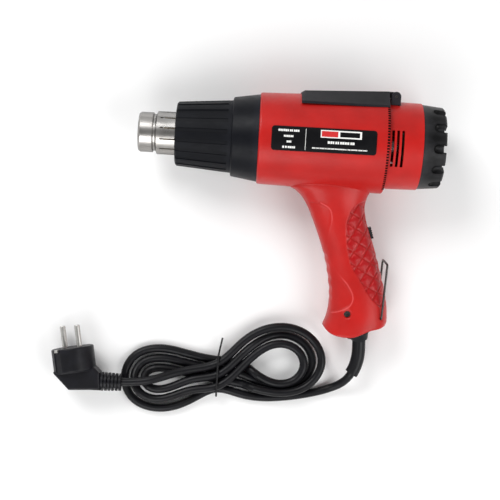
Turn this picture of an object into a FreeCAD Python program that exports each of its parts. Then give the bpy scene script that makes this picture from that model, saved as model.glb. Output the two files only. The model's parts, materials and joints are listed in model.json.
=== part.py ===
import FreeCAD, Part
import math
import os
import Sketcher
from FreeCAD import Placement, Rotation, Vector

# Hot air gun lying on its flank on a bench.
# Gun frame: +X from the nozzle mouth to the rear, +Y to the top of the gun, +Z out of the upper flank.
# The gun frame is rolled about X by roll_angle, so body and handle end both rest on the bench.
# The mains lead and its plug lie flat on the bench beside the gun.

DIMENSIONS = {
    # attitude and bench
    "roll_angle": 7.0,
    "bench_level": -41.55,
    # stainless nozzle
    "mouth_radius": 17.0,
    "sheet_wall": 0.8,
    "lip_length": 1.6,
    "lip_inset": 1.1,
    "band_end": 11.8,
    "neck_start": 12.8,
    "neck_end": 14.2,
    "neck_radius": 15.6,
    "sleeve_start": 15.6,
    "sleeve_radius": 18.3,
    "sleeve_end": 88.6,
    "nozzle_flange_radius": 30.0,
    "nozzle_flange_end": 90.0,
    "slot_count": 12,
    "slot_start": 18.5,
    "slot_length": 16.0,
    "slot_half_width": 0.65,
    # ribbed heat guard
    "guard_front": 31.8,
    "guard_front_radius": 27.2,
    "guard_rear": 78.8,
    "guard_rear_radius": 30.8,
    "guard_wall": 3.4,
    "guard_edge": 1.2,
    "guard_lip": 3.2,
    "guard_groove_count": 20,
    "guard_groove_width": 3.4,
    "guard_groove_depth": 0.9,
    # front collar ring
    "collar_front": 78.9,
    "collar_front_radius": 33.5,
    "collar_rear": 101.4,
    "collar_rear_radius": 37.1,
    "collar_bore_radius": 31.5,
    "collar_step": 93.3,
    "collar_step_radius": 34.2,
    "collar_edge": 1.5,
    # red body shells
    "spigot_front": 93.5,
    "spigot_radius": 34.0,
    "body_front": 101.5,
    "body_front_radius": 38.7,
    "body_cavity_front": 104.0,
    "body_cavity_front_radius": 36.2,
    "body_rear": 208.7,
    "body_rear_radius": 41.5,
    "body_rear_wall": 3.0,
    "body_rear_bore_radius": 37.4,
    "shell_wall": 2.5,
    "shell_edge": 0.8,
    # rear motor cover
    "cover_flange_front": 202.2,
    "cover_flange_end": 205.6,
    "cover_flange_radius": 38.6,
    "cover_radius": 37.1,
    "cover_rear": 237.2,
    "cover_rear_radius": 36.7,
    "cover_wall": 2.4,
    "cover_floor": 2.4,
    "air_slot_first": 210.6,
    "air_slot_pitch": 4.1,
    "air_slot_width": 2.3,
    "air_slot_top": 13.2,
    "air_slot_bottom": 16.6,
    "air_slot_count": 3,
    "rear_opening_radius": 30.0,
    "spoke_width": 4.0,
    "boss_radius": 8.0,
    # temperature dial, the rear crown
    "dial_front": 237.5,
    "dial_front_radius": 35.9,
    "dial_rear": 256.7,
    "dial_rear_radius": 34.2,
    "dial_inner_radius": 25.5,
    "dial_edge": 1.4,
    "dial_scallop_count": 12,
    "dial_scallop_radius": 4.0,
    "dial_scallop_centre": 35.0,
    "dial_scallop_start": 249.6,
    "dial_castle_depth": 2.2,
    "dial_web_front": 246.4,
    "dial_web_end": 249.4,
    "dial_hub_radius": 7.0,
    "dial_shaft_radius": 3.0,
    # potentiometer on the cover's boss
    "pot_radius": 8.0,
    "pot_depth": 9.0,
    "bushing_radius": 4.5,
    "running_gap": 0.05,
    # screws
    "screw_recess_radius": 2.9,
    "screw_head_radius": 2.7,
    "screw_core_radius": 1.4,
    "screw_boss_radius": 4.2,
    # folding stand leg on top
    "stand_front": 135.6,
    "stand_pivot_x": 214.4,
    "stand_pivot_y": 41.2,
    "stand_barrel_radius": 3.7,
    "stand_top_front": 42.2,
    "stand_top_rear": 45.1,
    "stand_body_end": 208.6,
    "stand_flat_half_width": 13.0,
    "stand_half_width": 27.0,
    "stand_lower_edge": 31.5,
    "stand_knuckle_half": 12.0,
    "ear_thickness": 3.6,
    "ear_radius": 3.9,
    "stand_pin_radius": 1.25,
    # drive
    "motor_front": 172.0,
    "motor_rear": 218.0,
    "motor_radius": 14.0,
    "motor_wall": 1.2,
    "shaft_radius": 1.15,
    "fan_front": 152.0,
    "fan_depth": 13.0,
    "fan_radius": 31.0,
    "fan_blades": 9,
    # heater
    "mica_radius": 16.4,
    "mica_wall": 0.5,
    "heater_front": 22.0,
    "heater_rear": 86.0,
    # lead
    "cable_radius": 3.6,
    "cable_gap": 0.06,
    "boot_gap": 0.15,
    "plug_radius": 18.4,
    "plug_pin_radius": 2.4,
    "plug_pin_length": 19.0,
    "plug_pin_spacing": 19.0,
}

# shapes that are drawn rather than driven, in the gun frame
GRIP_STATIONS = [
    # front point, back point, half thickness
    ((131.0, -30.0), (204.0, -30.0), 19.5),
    ((134.5, -41.5), (197.6, -44.5), 18.6),
    ((142.6, -49.0), (195.7, -52.0), 17.8),
    ((149.9, -62.3), (196.8, -61.0), 17.2),
    ((156.8, -78.6), (202.4, -78.0), 17.0),
    ((162.4, -93.9), (208.5, -94.9), 17.2),
    ((167.0, -111.6), (214.2, -112.6), 17.8),
    ((169.6, -128.0), (218.6, -128.5), 18.8),
    ((169.6, -143.5), (220.8, -143.0), 20.2),
    ((166.0, -156.5), (221.4, -154.0), 21.0),
    ((164.5, -170.0), (221.4, -168.0), 21.2),
]
BASE_OUTLINE = [(160.5, -150.0), (165.6, -157.4), (172.9, -162.8), (182.8, -164.7), (193.0, -163.8),
                (206.9, -157.8), (217.5, -155.2), (221.6, -151.0), (222.6, -146.0)]
SECTION_POINTS = 16
SECTION_POWER = 2.35
PRISM_TOP = 140.0
HALF_SPACE = 100.0
PRISM_REACH = 60.0
SEAM_ANGLE = -130.0

SIDE_SCREWS = [(118.0, -34.2, -9.5), (196.0, -35.0, -13.0), (122.0, 34.4, -9.5), (190.0, 35.0, -13.0),
               (168.2, -97.0, -8.5)]
BASE_SCREW = (185.4, -144.5, 14.5)
SCREW_LENGTH = 16.0
HEAD_HEIGHT = 2.2

GROOVE_RUNOUT = 3.0
GROOVE_TOOL_HEIGHT = 6.0
SPOKES = 4
SPOKE_BITE = 2.0
SIDE_PLAY = 0.3
LUG_FOOT = 34.0
CASTLE_WIDTH = 5.6
POT_BOARD = 1.6
INNER_WIRE = 0.9
DIAL_SPOKES = 6

SWITCH_LOWER = (203.9, -82.0)
SWITCH_UPPER = (198.9, -66.0)
SWITCH_SEAT = (199.6, -72.0)
SWITCH_TRAVEL = 8.0
SLIDER_LENGTH = 10.0
SLIDER_WIDTH = 6.0

BAIL_PIVOT = (214.6, -147.3)
BAIL_TIP = (216.6, -100.2)
BAIL_WIRE = 0.9
BAIL_HALF_WIDTH = 17.5

BOOT_NECK_RADIUS = 6.6
BOOT_POINTS = [(197.4, -158.0), (198.6, -171.0), (198.7, -183.0), (193.8, -199.6)]

STAND_CLEARANCE = 0.35
STAND_NECK_DROP = 1.2
BAIL_PIN = 6.5
BAIL_BEND = 3.0
SLIDER_RISE = 5.2

CORE_HALF = 12.0
COIL_PITCH = 5.0
DUCT_WALL = 1.5
DUCT_FRONT_RADIUS = 23.0
DUCT_REAR_RADIUS = 34.0
DUCT_LENGTH = 55.0
FAN_PITCH = 32.0
MAGNET_THICKNESS = 2.0
MAGNET_LENGTH = 32.0
AIR_GAP = 0.6
STACK_LENGTH = 28.0
CARRIER_RADIUS = 37.9

GRIP_UPPER = (184.0, -95.0)
GRIP_LOWER = (196.5, -141.0)
CLAMP_CENTRE = (198.0, -142.5)

LABEL_ENDS = (112.0, 198.0)
LABEL_HALF_HEIGHT = 10.0
LABEL_MIDDLE = 2.0
LABEL_THICKNESS = 0.35
LABEL_CORNER = 2.5

BOOT_RADIUS = 5.8
BOOT_COLLAR_RADIUS = 10.5
BOOT_INNER_RADIUS = 8.4
BOOT_NECK_LENGTH = 15.0
BASE_SLOPE = 23.3
FLANGE_CENTRE = (197.4, -162.9)

# the lead on the bench, in the object's frame
TIE = (77.0, -207.3)
COIL_MIDDLE = -217.0
LEAD_STEP = 4.0
TIE_HALF_WIDTH = 17.5
TIE_WIRE = 0.8

PLUG_FACE = (-50.5, -188.7)
PLUG_HEADING = 100.4
PLUG_PIN_TILT = 40.0
PLUG_HEAD_DEPTH = 21.5
PLUG_FRONT_EDGE = 1.2
PLUG_BACK_EDGE = 2.5
PLUG_NECK = [(-19.0, 17.6), (-20.8, 17.6), (-36.0, 6.7), (-38.4, -12.3), (-39.8, -20.4), (-24.7, -21.9),
             (-19.0, -17.6)]
PLUG_NECK_HALF = 9.4
PLUG_NECK_EDGE = 2.0
PIN_ROOT = 1.0
PIN_SHANK = 12.0
PIN_SHANK_RADIUS = 2.0
CHANNEL_WIDTH = 8.0
CHANNEL_DEPTH = 1.0
CLIP_LENGTH = 2.5
CLIP_WIDTH = 4.0
CLIP_DEPTH = 3.0
CLIP_SINK = 2.2
RELIEF_START = -24.5
RELIEF_RIBS = 6
RELIEF_PITCH = 3.1
RELIEF_CORE = 5.6
RELIEF_RADIUS = 8.2

doc = FreeCAD.newDocument("HeatGun")
sheet = doc.addObject("Spreadsheet::Sheet", "Sizes")
nodes = []


def fill_sheet():
    for row, (name, value) in enumerate(DIMENSIONS.items(), start=1):
        sheet.set("A%d" % row, name)
        sheet.set("B%d" % row, str(value))
        sheet.setAlias("B%d" % row, name)
    doc.recompute()


def size(name):
    return float(getattr(sheet, name))


class Length:
    """A length as a value and as the expression that binds it to the sheet."""

    def __init__(self, *names):
        self.value = 0.0
        self.expression = ""
        for name in names:
            sign = -1.0 if name.startswith("-") else 1.0
            word = name.lstrip("-")
            self.value += sign * size(word)
            joiner = " - " if sign < 0 else (" + " if self.expression else "")
            self.expression += joiner + "Sizes." + word


def bind(thing, prop, *names):
    thing.setExpression(prop, Length(*names).expression)


def gun_roll():
    return Placement(Vector(), Rotation(Vector(1, 0, 0), size("roll_angle")))


def on_gun(x, y, z=0.0):
    return gun_roll().multVec(Vector(x, y, z))


def node(thing, label, rolled=True):
    thing.Label = label
    if rolled:
        thing.Placement = gun_roll().multiply(thing.Placement)
    nodes.append(thing)
    return thing


# ---------------------------------------------------------------- helpers: Part objects


def add(kind, name):
    return doc.addObject("Part::" + kind, name)


def rod(name, radius, length, base, direction=Vector(1, 0, 0)):
    """Cylinder from base along direction; radius and length are tuples of sheet names or numbers."""
    thing = add("Cylinder", name)
    for prop, amount in (("Radius", radius), ("Height", length)):
        if isinstance(amount, tuple):
            bind(thing, prop, *amount)
        else:
            setattr(thing, prop, amount)
    thing.Placement = Placement(Vector(*base), Rotation(Vector(0, 0, 1), direction))
    return thing


def block(name, low, high):
    thing = add("Box", name)
    thing.Length = high[0] - low[0]
    thing.Width = high[1] - low[1]
    thing.Height = high[2] - low[2]
    thing.Placement.Base = Vector(*low)
    return thing


def cut(name, base, tool):
    thing = add("Cut", name)
    thing.Base = base
    thing.Tool = tool
    return thing


def common(name, base, tool):
    thing = add("Common", name)
    thing.Base = base
    thing.Tool = tool
    return thing


def fuse(name, pieces):
    thing = add("MultiFuse", name)
    thing.Shapes = pieces
    return thing


def group(name, pieces):
    thing = add("Compound", name)
    thing.Links = pieces
    return thing


def solid(name, shape):
    """A shape made by code, where no primitive or sketch gives its form."""
    thing = add("Feature", name)
    thing.Shape = shape
    return thing


# ---------------------------------------------------------------- helpers: sketched bodies


def origin_plane(body, role):
    for feature in body.Origin.OriginFeatures:
        if feature.Role == role:
            return feature
    raise ValueError(role)


def sketch_on(body, role, name):
    sketch = body.newObject("Sketcher::SketchObject", name)
    sketch.AttachmentSupport = [(origin_plane(body, role), "")]
    sketch.MapMode = "FlatFace"
    return sketch


def outline(sketch, corners):
    """Closed outline of straight lines; every corner is placed by two lengths from the sheet."""
    spots = [Vector(across.value, up.value, 0) for across, up in corners]
    count = len(spots)
    for index in range(count):
        sketch.addGeometry(Part.LineSegment(spots[index], spots[(index + 1) % count]), False)
    for index in range(count):
        sketch.addConstraint(Sketcher.Constraint("Coincident", index, 2, (index + 1) % count, 1))
    for index, (across, up) in enumerate(corners):
        place_corner(sketch, index, "DistanceX", across)
        place_corner(sketch, index, "DistanceY", up)


def place_corner(sketch, index, kind, length):
    if not length.expression:
        axis = -2 if kind == "DistanceX" else -1
        sketch.addConstraint(Sketcher.Constraint("PointOnObject", index, 1, axis))
        return
    number = sketch.addConstraint(Sketcher.Constraint(kind, -1, 1, index, 1, length.value))
    sketch.setExpression("Constraints[%d]" % number, length.expression)


def turned(name, corners):
    """Body of revolution about X from (station, radius) corners."""
    body = doc.addObject("PartDesign::Body", name)
    sketch = sketch_on(body, "XY_Plane", name + "_profile")
    outline(sketch, [(Length(*station), Length(*radius)) for station, radius in corners])
    turn = body.newObject("PartDesign::Revolution", name + "_turn")
    turn.Profile = sketch
    turn.ReferenceAxis = (sketch, ["H_Axis"])
    turn.Angle = 360
    doc.recompute()
    return body


def rounded(body, name, radius, pick):
    """Fillet of the body's edges that pick chooses."""
    edges = ["Edge%d" % number for number, edge in enumerate(body.Shape.Edges, start=1) if pick(edge)]
    tip = body.Tip
    fillet = body.newObject("PartDesign::Fillet", name)
    fillet.Base = (tip, edges)
    bind(fillet, "Radius", radius)
    body.Tip = fillet
    doc.recompute()
    return fillet


def ring_at(station, radius):
    """Test for a full circle about X at a station with a radius."""
    def test(edge):
        if not isinstance(edge.Curve, Part.Circle):
            return False
        same_place = abs(edge.Curve.Center.x - station) < 0.01
        return same_place and abs(edge.Curve.Radius - radius) < 0.01
    return test


def patterned(body, name, feature, count):
    pattern = body.newObject("PartDesign::PolarPattern", name)
    pattern.Originals = [feature]
    pattern.Axis = (origin_plane(body, "X_Axis"), [""])
    pattern.Angle = 360
    bind(pattern, "Occurrences", count)
    body.Tip = pattern
    doc.recompute()
    return pattern


def pocketed(body, name, corners, depth, both=False):
    """Pocket from the mid-plane outward through +Z, or through both flanks, over a closed outline."""
    before = body.Shape.Volume
    sketch = sketch_on(body, "XY_Plane", name + "_outline")
    outline(sketch, [(Length(*across), Length(*up)) for across, up in corners])
    pocket = body.newObject("PartDesign::Pocket", name)
    pocket.Profile = sketch
    pocket.Type = "Length"
    bind(pocket, "Length", depth)
    pocket.Reversed = not both
    pocket.Midplane = both
    body.Tip = pocket
    doc.recompute()
    if body.Shape.Volume >= before:
        raise ValueError(name + " cuts nothing")
    return pocket


def slot_corners(start, end, half_width):
    """Four corners of a slot along X; start and end are tuples of sheet names."""
    low = ("-" + half_width,)
    high = (half_width,)
    return [(start, low), (end, low), (end, high), (start, high)]


fill_sheet()


# ---------------------------------------------------------------- nozzle, guard and collar


def make_nozzle_tube():
    wall = "-sheet_wall"
    corners = [
        ((), ("mouth_radius", "-lip_inset")),
        (("lip_length",), ("mouth_radius",)),
        (("band_end",), ("mouth_radius",)),
        (("neck_start",), ("neck_radius",)),
        (("neck_end",), ("neck_radius",)),
        (("sleeve_start",), ("sleeve_radius",)),
        (("sleeve_end",), ("sleeve_radius",)),
        (("sleeve_end",), ("nozzle_flange_radius",)),
        (("nozzle_flange_end",), ("nozzle_flange_radius",)),
        (("nozzle_flange_end",), ("sleeve_radius", wall)),
        (("sleeve_start",), ("sleeve_radius", wall)),
        (("neck_end",), ("neck_radius", wall)),
        (("neck_start",), ("neck_radius", wall)),
        (("band_end",), ("mouth_radius", wall)),
        (("lip_length",), ("mouth_radius", wall)),
        ((), ("mouth_radius", "-lip_inset", wall)),
    ]
    body = turned("nozzle_tube", corners)
    slot = pocketed(body, "nozzle_slot", slot_corners(("slot_start",), ("slot_start", "slot_length"),
                                                      "slot_half_width"), "sleeve_end")
    patterned(body, "nozzle_slots", slot, "slot_count")
    body.Placement = turn_about_x(180.0 / size("slot_count"))
    node(body, "nozzle_tube")


def make_nozzle_guard():
    corners = [
        (("guard_front",), ("guard_front_radius", "-guard_wall")),
        (("guard_front",), ("guard_front_radius", "-guard_edge")),
        (("guard_front", "guard_edge"), ("guard_front_radius",)),
        (("guard_rear",), ("guard_rear_radius",)),
        (("guard_rear",), ("guard_rear_radius", "-guard_wall")),
        (("guard_front", "guard_edge"), ("guard_front_radius", "-guard_wall")),
    ]
    body = turned("guard_cone", corners)
    lean = math.degrees(math.atan2(size("guard_rear_radius") - size("guard_front_radius"),
                                   size("guard_rear") - size("guard_front")))
    length = size("guard_rear") - size("guard_front") - size("guard_lip")
    width = size("guard_groove_width")
    grooves = []
    for index in range(int(size("guard_groove_count"))):
        groove = add("Box", "guard_groove_%02d" % index)
        groove.Length = length + GROOVE_RUNOUT
        groove.Width = width
        groove.Height = GROOVE_TOOL_HEIGHT
        seat = Placement(Vector(size("guard_front") - GROOVE_RUNOUT, 0,
                                size("guard_front_radius") - size("guard_groove_depth")),
                         Rotation(Vector(0, 1, 0), -lean))
        seat = seat.multiply(Placement(Vector(0, -width / 2, 0), Rotation()))
        turn = turn_about_x((index + 0.5) * 360.0 / size("guard_groove_count"))
        groove.Placement = turn.multiply(seat)
        grooves.append(groove)
    node(cut("nozzle_guard_ribbed", body, group("guard_grooves", grooves)), "nozzle_guard")


def turn_about_x(degrees):
    return Placement(Vector(), Rotation(Vector(1, 0, 0), degrees))


def make_front_collar():
    corners = [
        (("collar_front",), ("collar_bore_radius",)),
        (("collar_front",), ("collar_front_radius",)),
        (("collar_rear",), ("collar_rear_radius",)),
        (("collar_rear",), ("collar_step_radius",)),
        (("collar_step",), ("collar_step_radius",)),
        (("collar_step",), ("collar_bore_radius",)),
    ]
    body = turned("collar_ring", corners)
    rounded(body, "collar_round", "collar_edge", ring_at(size("collar_front"), size("collar_front_radius")))
    node(body, "front_collar")


# ---------------------------------------------------------------- rear: motor cover and dial


def make_motor_cover():
    wall = "-cover_wall"
    corners = [
        (("cover_flange_front",), ("cover_radius", wall)),
        (("cover_flange_front",), ("cover_flange_radius",)),
        (("cover_flange_end",), ("cover_flange_radius",)),
        (("cover_flange_end",), ("cover_radius",)),
        (("cover_rear",), ("cover_rear_radius",)),
        (("cover_rear",), ("rear_opening_radius",)),
        (("cover_rear", "-cover_floor"), ("rear_opening_radius",)),
        (("cover_rear", "-cover_floor"), ("cover_rear_radius", wall)),
    ]
    body = turned("motor_cover_tube", corners)
    low = ("-air_slot_bottom",)
    high = ("air_slot_top",)
    start = ("air_slot_first",)
    end = ("air_slot_first", "air_slot_width")
    slot = pocketed(body, "air_slot", [(start, low), (end, low), (end, high), (start, high)],
                    "collar_rear", both=True)
    row = body.newObject("PartDesign::LinearPattern", "air_slots")
    row.Originals = [slot]
    row.Direction = (origin_plane(body, "X_Axis"), [""])
    row.Mode = "Spacing"
    bind(row, "Offset", "air_slot_pitch")
    bind(row, "Occurrences", "air_slot_count")
    body.Tip = row
    doc.recompute()
    floor = size("cover_rear") - size("cover_floor")
    pieces = [body, rod("cover_boss", ("boss_radius",), ("cover_floor",), (floor, 0, 0))]
    reach = size("rear_opening_radius") + SPOKE_BITE
    for index in range(SPOKES):
        spoke = add("Box", "cover_spoke_%d" % index)
        bind(spoke, "Length", "cover_floor")
        bind(spoke, "Width", "spoke_width")
        spoke.Height = reach
        seat = Placement(Vector(floor, -size("spoke_width") / 2, 0), Rotation())
        spoke.Placement = turn_about_x(45 + index * 360.0 / SPOKES).multiply(seat)
        pieces.append(spoke)
    bore = rod("bushing_bore", ("bushing_radius", "running_gap"), ("cover_floor", "cover_floor"),
               (floor - 1, 0, 0))
    tools = [bore] + [lug_foot("lug_pocket_%d" % (side + 1), side, size("running_gap")) for side in (-1, 1)]
    cover = cut("motor_cover_cut", fuse("motor_cover_fused", pieces), group("cover_openings", tools))
    node(cover, "motor_cover")


def lug_foot(name, side, play):
    """Foot of a hinge lug, or with play the pocket that it sits in."""
    inner = size("stand_knuckle_half") + SIDE_PLAY
    low = inner if side > 0 else -inner - size("ear_thickness")
    x = size("stand_pivot_x")
    half = size("ear_radius") + play
    return block(name, (x - half, LUG_FOOT - play, low - play),
                 (x + half, size("stand_pivot_y"), low + size("ear_thickness") + play))


def make_stand_lugs():
    """Two lugs set in the motor cover, one at each end of the stand's hinge pin."""
    x = size("stand_pivot_x")
    y = size("stand_pivot_y")
    outer = size("stand_knuckle_half") + SIDE_PLAY + size("ear_thickness")
    lugs = []
    for side in (-1, 1):
        name = "lug_%d" % (side + 1)
        low = outer - size("ear_thickness") if side > 0 else -outer
        barrel = rod(name + "_barrel", ("ear_radius",), ("ear_thickness",), (x, y, low), Vector(0, 0, 1))
        whole = fuse(name + "_whole", [barrel, lug_foot(name + "_foot", side, 0.0)])
        bore = rod(name + "_bore", ("stand_pin_radius", "running_gap"), ("ear_thickness", "ear_thickness"),
                   (x, y, low - 1), Vector(0, 0, 1))
        lugs.append(cut(name, whole, bore))
    node(group("stand_lugs_pair", lugs), "stand_lugs")


def make_temperature_dial():
    corners = [
        (("dial_front",), ("dial_inner_radius",)),
        (("dial_front",), ("dial_front_radius",)),
        (("dial_rear", "-dial_edge"), ("dial_rear_radius",)),
        (("dial_rear",), ("dial_rear_radius", "-dial_edge")),
        (("dial_rear",), ("dial_inner_radius",)),
    ]
    body = turned("dial_ring", corners)
    tools = []
    count = int(size("dial_scallop_count"))
    start = size("dial_scallop_start")
    for index in range(count):
        turn = turn_about_x(index * 360.0 / count)
        seat = turn.multiply(Placement(Vector(start, 0, size("dial_scallop_centre")), Rotation()))
        flute = rod("dial_flute_%d" % index, ("dial_scallop_radius",), 20, (0, 0, 0))
        flute.Placement = seat.multiply(flute.Placement)
        nose = add("Sphere", "dial_flute_nose_%d" % index)
        bind(nose, "Radius", "dial_scallop_radius")
        nose.Placement = seat
        notch = add("Box", "dial_notch_%d" % index)
        notch.Length = 20
        notch.Width = CASTLE_WIDTH
        notch.Height = 20
        back = Placement(Vector(size("dial_rear") - size("dial_castle_depth"), -CASTLE_WIDTH / 2,
                                size("dial_inner_radius") - 5), Rotation())
        notch.Placement = turn.multiply(back)
        tools += [flute, nose, notch]
    ring = cut("dial_ring_cut", body, group("dial_tools", tools))
    web = size("dial_web_end") - size("dial_web_front")
    pieces = [ring, rod("dial_hub", ("dial_hub_radius",), ("dial_web_end", "-dial_web_front"),
                        (size("dial_web_front"), 0, 0))]
    for index in range(DIAL_SPOKES):
        spoke = block("dial_spoke_%d" % index, (0, -1.5, 3), (web, 1.5, size("dial_inner_radius") + 1))
        seat = Placement(Vector(size("dial_web_front"), -1.5, 3), Rotation())
        spoke.Placement = turn_about_x(index * 360.0 / DIAL_SPOKES).multiply(seat)
        pieces.append(spoke)
    for radius in (12.0, 18.5):
        pieces.append(hoop("dial_hoop_%d" % radius, radius, radius + 1.6, size("dial_web_front"), web))
    bore = rod("dial_bore", ("dial_shaft_radius", "running_gap"), 20, (size("dial_web_front") - 5, 0, 0))
    node(cut("temperature_dial_cut", fuse("dial_fused", pieces), bore), "temperature_dial")


def hoop(name, inner, outer, start, length):
    """Flat ring about X."""
    solid_disc = rod(name + "_disc", outer, length, (start, 0, 0))
    hole = rod(name + "_hole", inner, length + 2, (start - 1, 0, 0))
    return cut(name, solid_disc, hole)


def make_potentiometer():
    floor = size("cover_rear") - size("cover_floor")
    case_start = floor - size("pot_depth") - 0.1
    case = rod("pot_case", ("pot_radius",), ("pot_depth",), (case_start, 0, 0))
    bushing = rod("pot_bushing", ("bushing_radius",), 4.6, (floor - 0.2, 0, 0))
    board = block("pot_board", (case_start - POT_BOARD, -11, -11), (case_start, 11, 11))
    bore = rod("pot_bore", ("dial_shaft_radius", "running_gap"), 12, (floor - 6.0, 0, 0))
    node(cut("potentiometer_cut", fuse("pot_fused", [case, bushing, board]), bore), "potentiometer")
    shaft = rod("dial_shaft", ("dial_shaft_radius",), ("dial_web_end", "-cover_rear", "pot_depth"),
                (size("cover_rear") - 7.0, 0, 0))
    node(shaft, "dial_shaft")


# ---------------------------------------------------------------- red shells


def superellipse(centre, across, half_long, half_thick):
    """Closed smooth section in the plane of across and Z."""
    points = []
    for step in range(SECTION_POINTS):
        angle = 2 * math.pi * step / SECTION_POINTS - math.pi / 2
        u = math.copysign(abs(math.cos(angle)) ** (2 / SECTION_POWER), math.cos(angle))
        w = math.copysign(abs(math.sin(angle)) ** (2 / SECTION_POWER), math.sin(angle))
        points.append(centre + across * (u * half_long) + Vector(0, 0, w * half_thick))
    curve = Part.BSplineCurve()
    curve.interpolate(points, PeriodicFlag=True)
    return Part.Wire([curve.toShape()])


def handle_loft(inset):
    sections = []
    for front, back, thickness in GRIP_STATIONS:
        front = Vector(front[0], front[1], 0)
        back = Vector(back[0], back[1], 0)
        across = (front - back).normalize()
        half = front.distanceToPoint(back) / 2 - inset
        sections.append(superellipse((front + back) / 2, across, half, thickness - inset))
    return Part.makeLoft(sections, True, False)


def side_prism(points, half_width):
    """Prism across the gun over everything above a smooth line seen from the flank."""
    curve = Part.BSplineCurve()
    curve.interpolate([Vector(x, y, -half_width) for x, y in points])
    first = Vector(points[0][0], points[0][1], -half_width)
    last = Vector(points[-1][0], points[-1][1], -half_width)
    out = Vector(PRISM_REACH, 0, 0)
    high = Vector(0, PRISM_TOP, 0)
    around = [last, last + out, last + out + high, first - out + high, first - out, first]
    lines = [Part.makeLine(start, end) for start, end in zip(around, around[1:])]
    face = Part.Face(Part.Wire([curve.toShape()] + lines))
    return face.extrude(Vector(0, 0, 2 * half_width))


def handle_solid(inset):
    base = [(x, y + inset) for x, y in BASE_OUTLINE]
    return handle_loft(inset).common(side_prism(base, 40))


def revolved(corners):
    points = [Vector(x, radius, 0) for x, radius in corners]
    face = Part.Face(Part.makePolygon(points + [points[0]]))
    turned_solid = face.revolve(Vector(), Vector(1, 0, 0), 360)
    turned_solid.rotate(Vector(), Vector(1, 0, 0), SEAM_ANGLE)
    return turned_solid


def body_outer():
    front = size("body_front")
    rear = size("body_rear")
    edge = size("shell_edge")
    corners = [
        (size("spigot_front"), 0),
        (size("spigot_front"), size("spigot_radius")),
        (front, size("spigot_radius")),
        (front, size("body_front_radius") - edge),
        (front + edge, size("body_front_radius")),
        (rear - edge, size("body_rear_radius")),
        (rear, size("body_rear_radius") - edge),
        (rear, 0),
    ]
    return revolved(corners)


def body_cavity():
    rear = size("body_rear")
    inside = rear - size("body_rear_wall")
    wall = size("shell_wall")
    corners = [
        (size("spigot_front") - 1, 0),
        (size("spigot_front") - 1, size("collar_bore_radius")),
        (size("body_cavity_front"), size("collar_bore_radius")),
        (size("body_cavity_front"), size("body_cavity_front_radius")),
        (inside, size("body_rear_radius") - wall),
        (inside, size("body_rear_bore_radius")),
        (rear + 1, size("body_rear_bore_radius")),
        (rear + 1, 0),
    ]
    return revolved(corners)


def shell_half(side):
    """One half shell, on the +Z side or the -Z side of the parting plane."""
    low = 0.0 if side > 0 else -HALF_SPACE
    half_space = Part.makeBox(400, 400, HALF_SPACE, Vector(-50, -250, low))
    outer = handle_solid(0.0).common(half_space).fuse(body_outer().common(half_space))
    shell = outer.cut(body_cavity()).cut(handle_solid(size("shell_wall")))
    for x, y, seat in SIDE_SCREWS + [BASE_SCREW]:
        boss = Part.makeCylinder(size("screw_boss_radius"), 80, Vector(x, y, -40), Vector(0, 0, 1))
        shell = shell.fuse(boss.common(outer))
    for x, y, seat in SIDE_SCREWS + [BASE_SCREW]:
        shell = shell.cut(screw_hole(x, y, seat))
    for opening in (switch_opening(), bail_holes(), lead_opening()):
        shell = shell.cut(opening)
    return shell


def screw_hole(x, y, seat):
    """Bore for a screw whose head sits at height seat, open towards the flank on seat's side."""
    out = 1 if seat > 0 else -1
    shank = Part.makeCylinder(size("screw_core_radius") + 0.1, SCREW_LENGTH + 1, Vector(x, y, seat),
                              Vector(0, 0, -out))
    recess = Part.makeCylinder(size("screw_recess_radius"), 40, Vector(x, y, seat), Vector(0, 0, out))
    return shank.fuse(recess)


def switch_frame():
    """Placement with X along the slider's travel, Y out of the grip's back, at the slider's middle."""
    travel = Vector(SWITCH_UPPER[0] - SWITCH_LOWER[0], SWITCH_UPPER[1] - SWITCH_LOWER[1], 0).normalize()
    outward = Vector(-travel.y, travel.x, 0) * -1
    turn = Rotation(travel, outward, Vector(0, 0, 1), "XYZ")
    return Placement(Vector(SWITCH_SEAT[0], SWITCH_SEAT[1], 0), turn)


def switch_opening():
    opening = Part.makeBox(SLIDER_LENGTH + SWITCH_TRAVEL + 1.0, 12, SLIDER_WIDTH + 1.0,
                           Vector(-(SLIDER_LENGTH + SWITCH_TRAVEL) / 2 - 0.5, -6, -SLIDER_WIDTH / 2 - 0.5))
    opening.Placement = switch_frame()
    return opening


def bail_holes():
    return Part.makeCylinder(BAIL_WIRE + 0.1, 60, Vector(BAIL_PIVOT[0], BAIL_PIVOT[1], -30), Vector(0, 0, 1))


def lead_opening():
    start = Vector(BOOT_POINTS[0][0], BOOT_POINTS[0][1] + 4, 0)
    return Part.makeCylinder(BOOT_NECK_RADIUS + 0.1, 24, start, Vector(0, -1, 0))


def make_shells():
    node(solid("left_shell_half", shell_half(1)), "left_shell")
    node(solid("right_shell_half", shell_half(-1)), "right_shell")


def make_screws():
    pieces = []
    for number, (x, y, seat) in enumerate(SIDE_SCREWS):
        pieces.append(screw("side_screw_%d" % number, x, y, seat))
    node(group("shell_screws_group", pieces), "shell_screws")
    node(screw("base_screw_solid", *BASE_SCREW), "base_screw")


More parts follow.
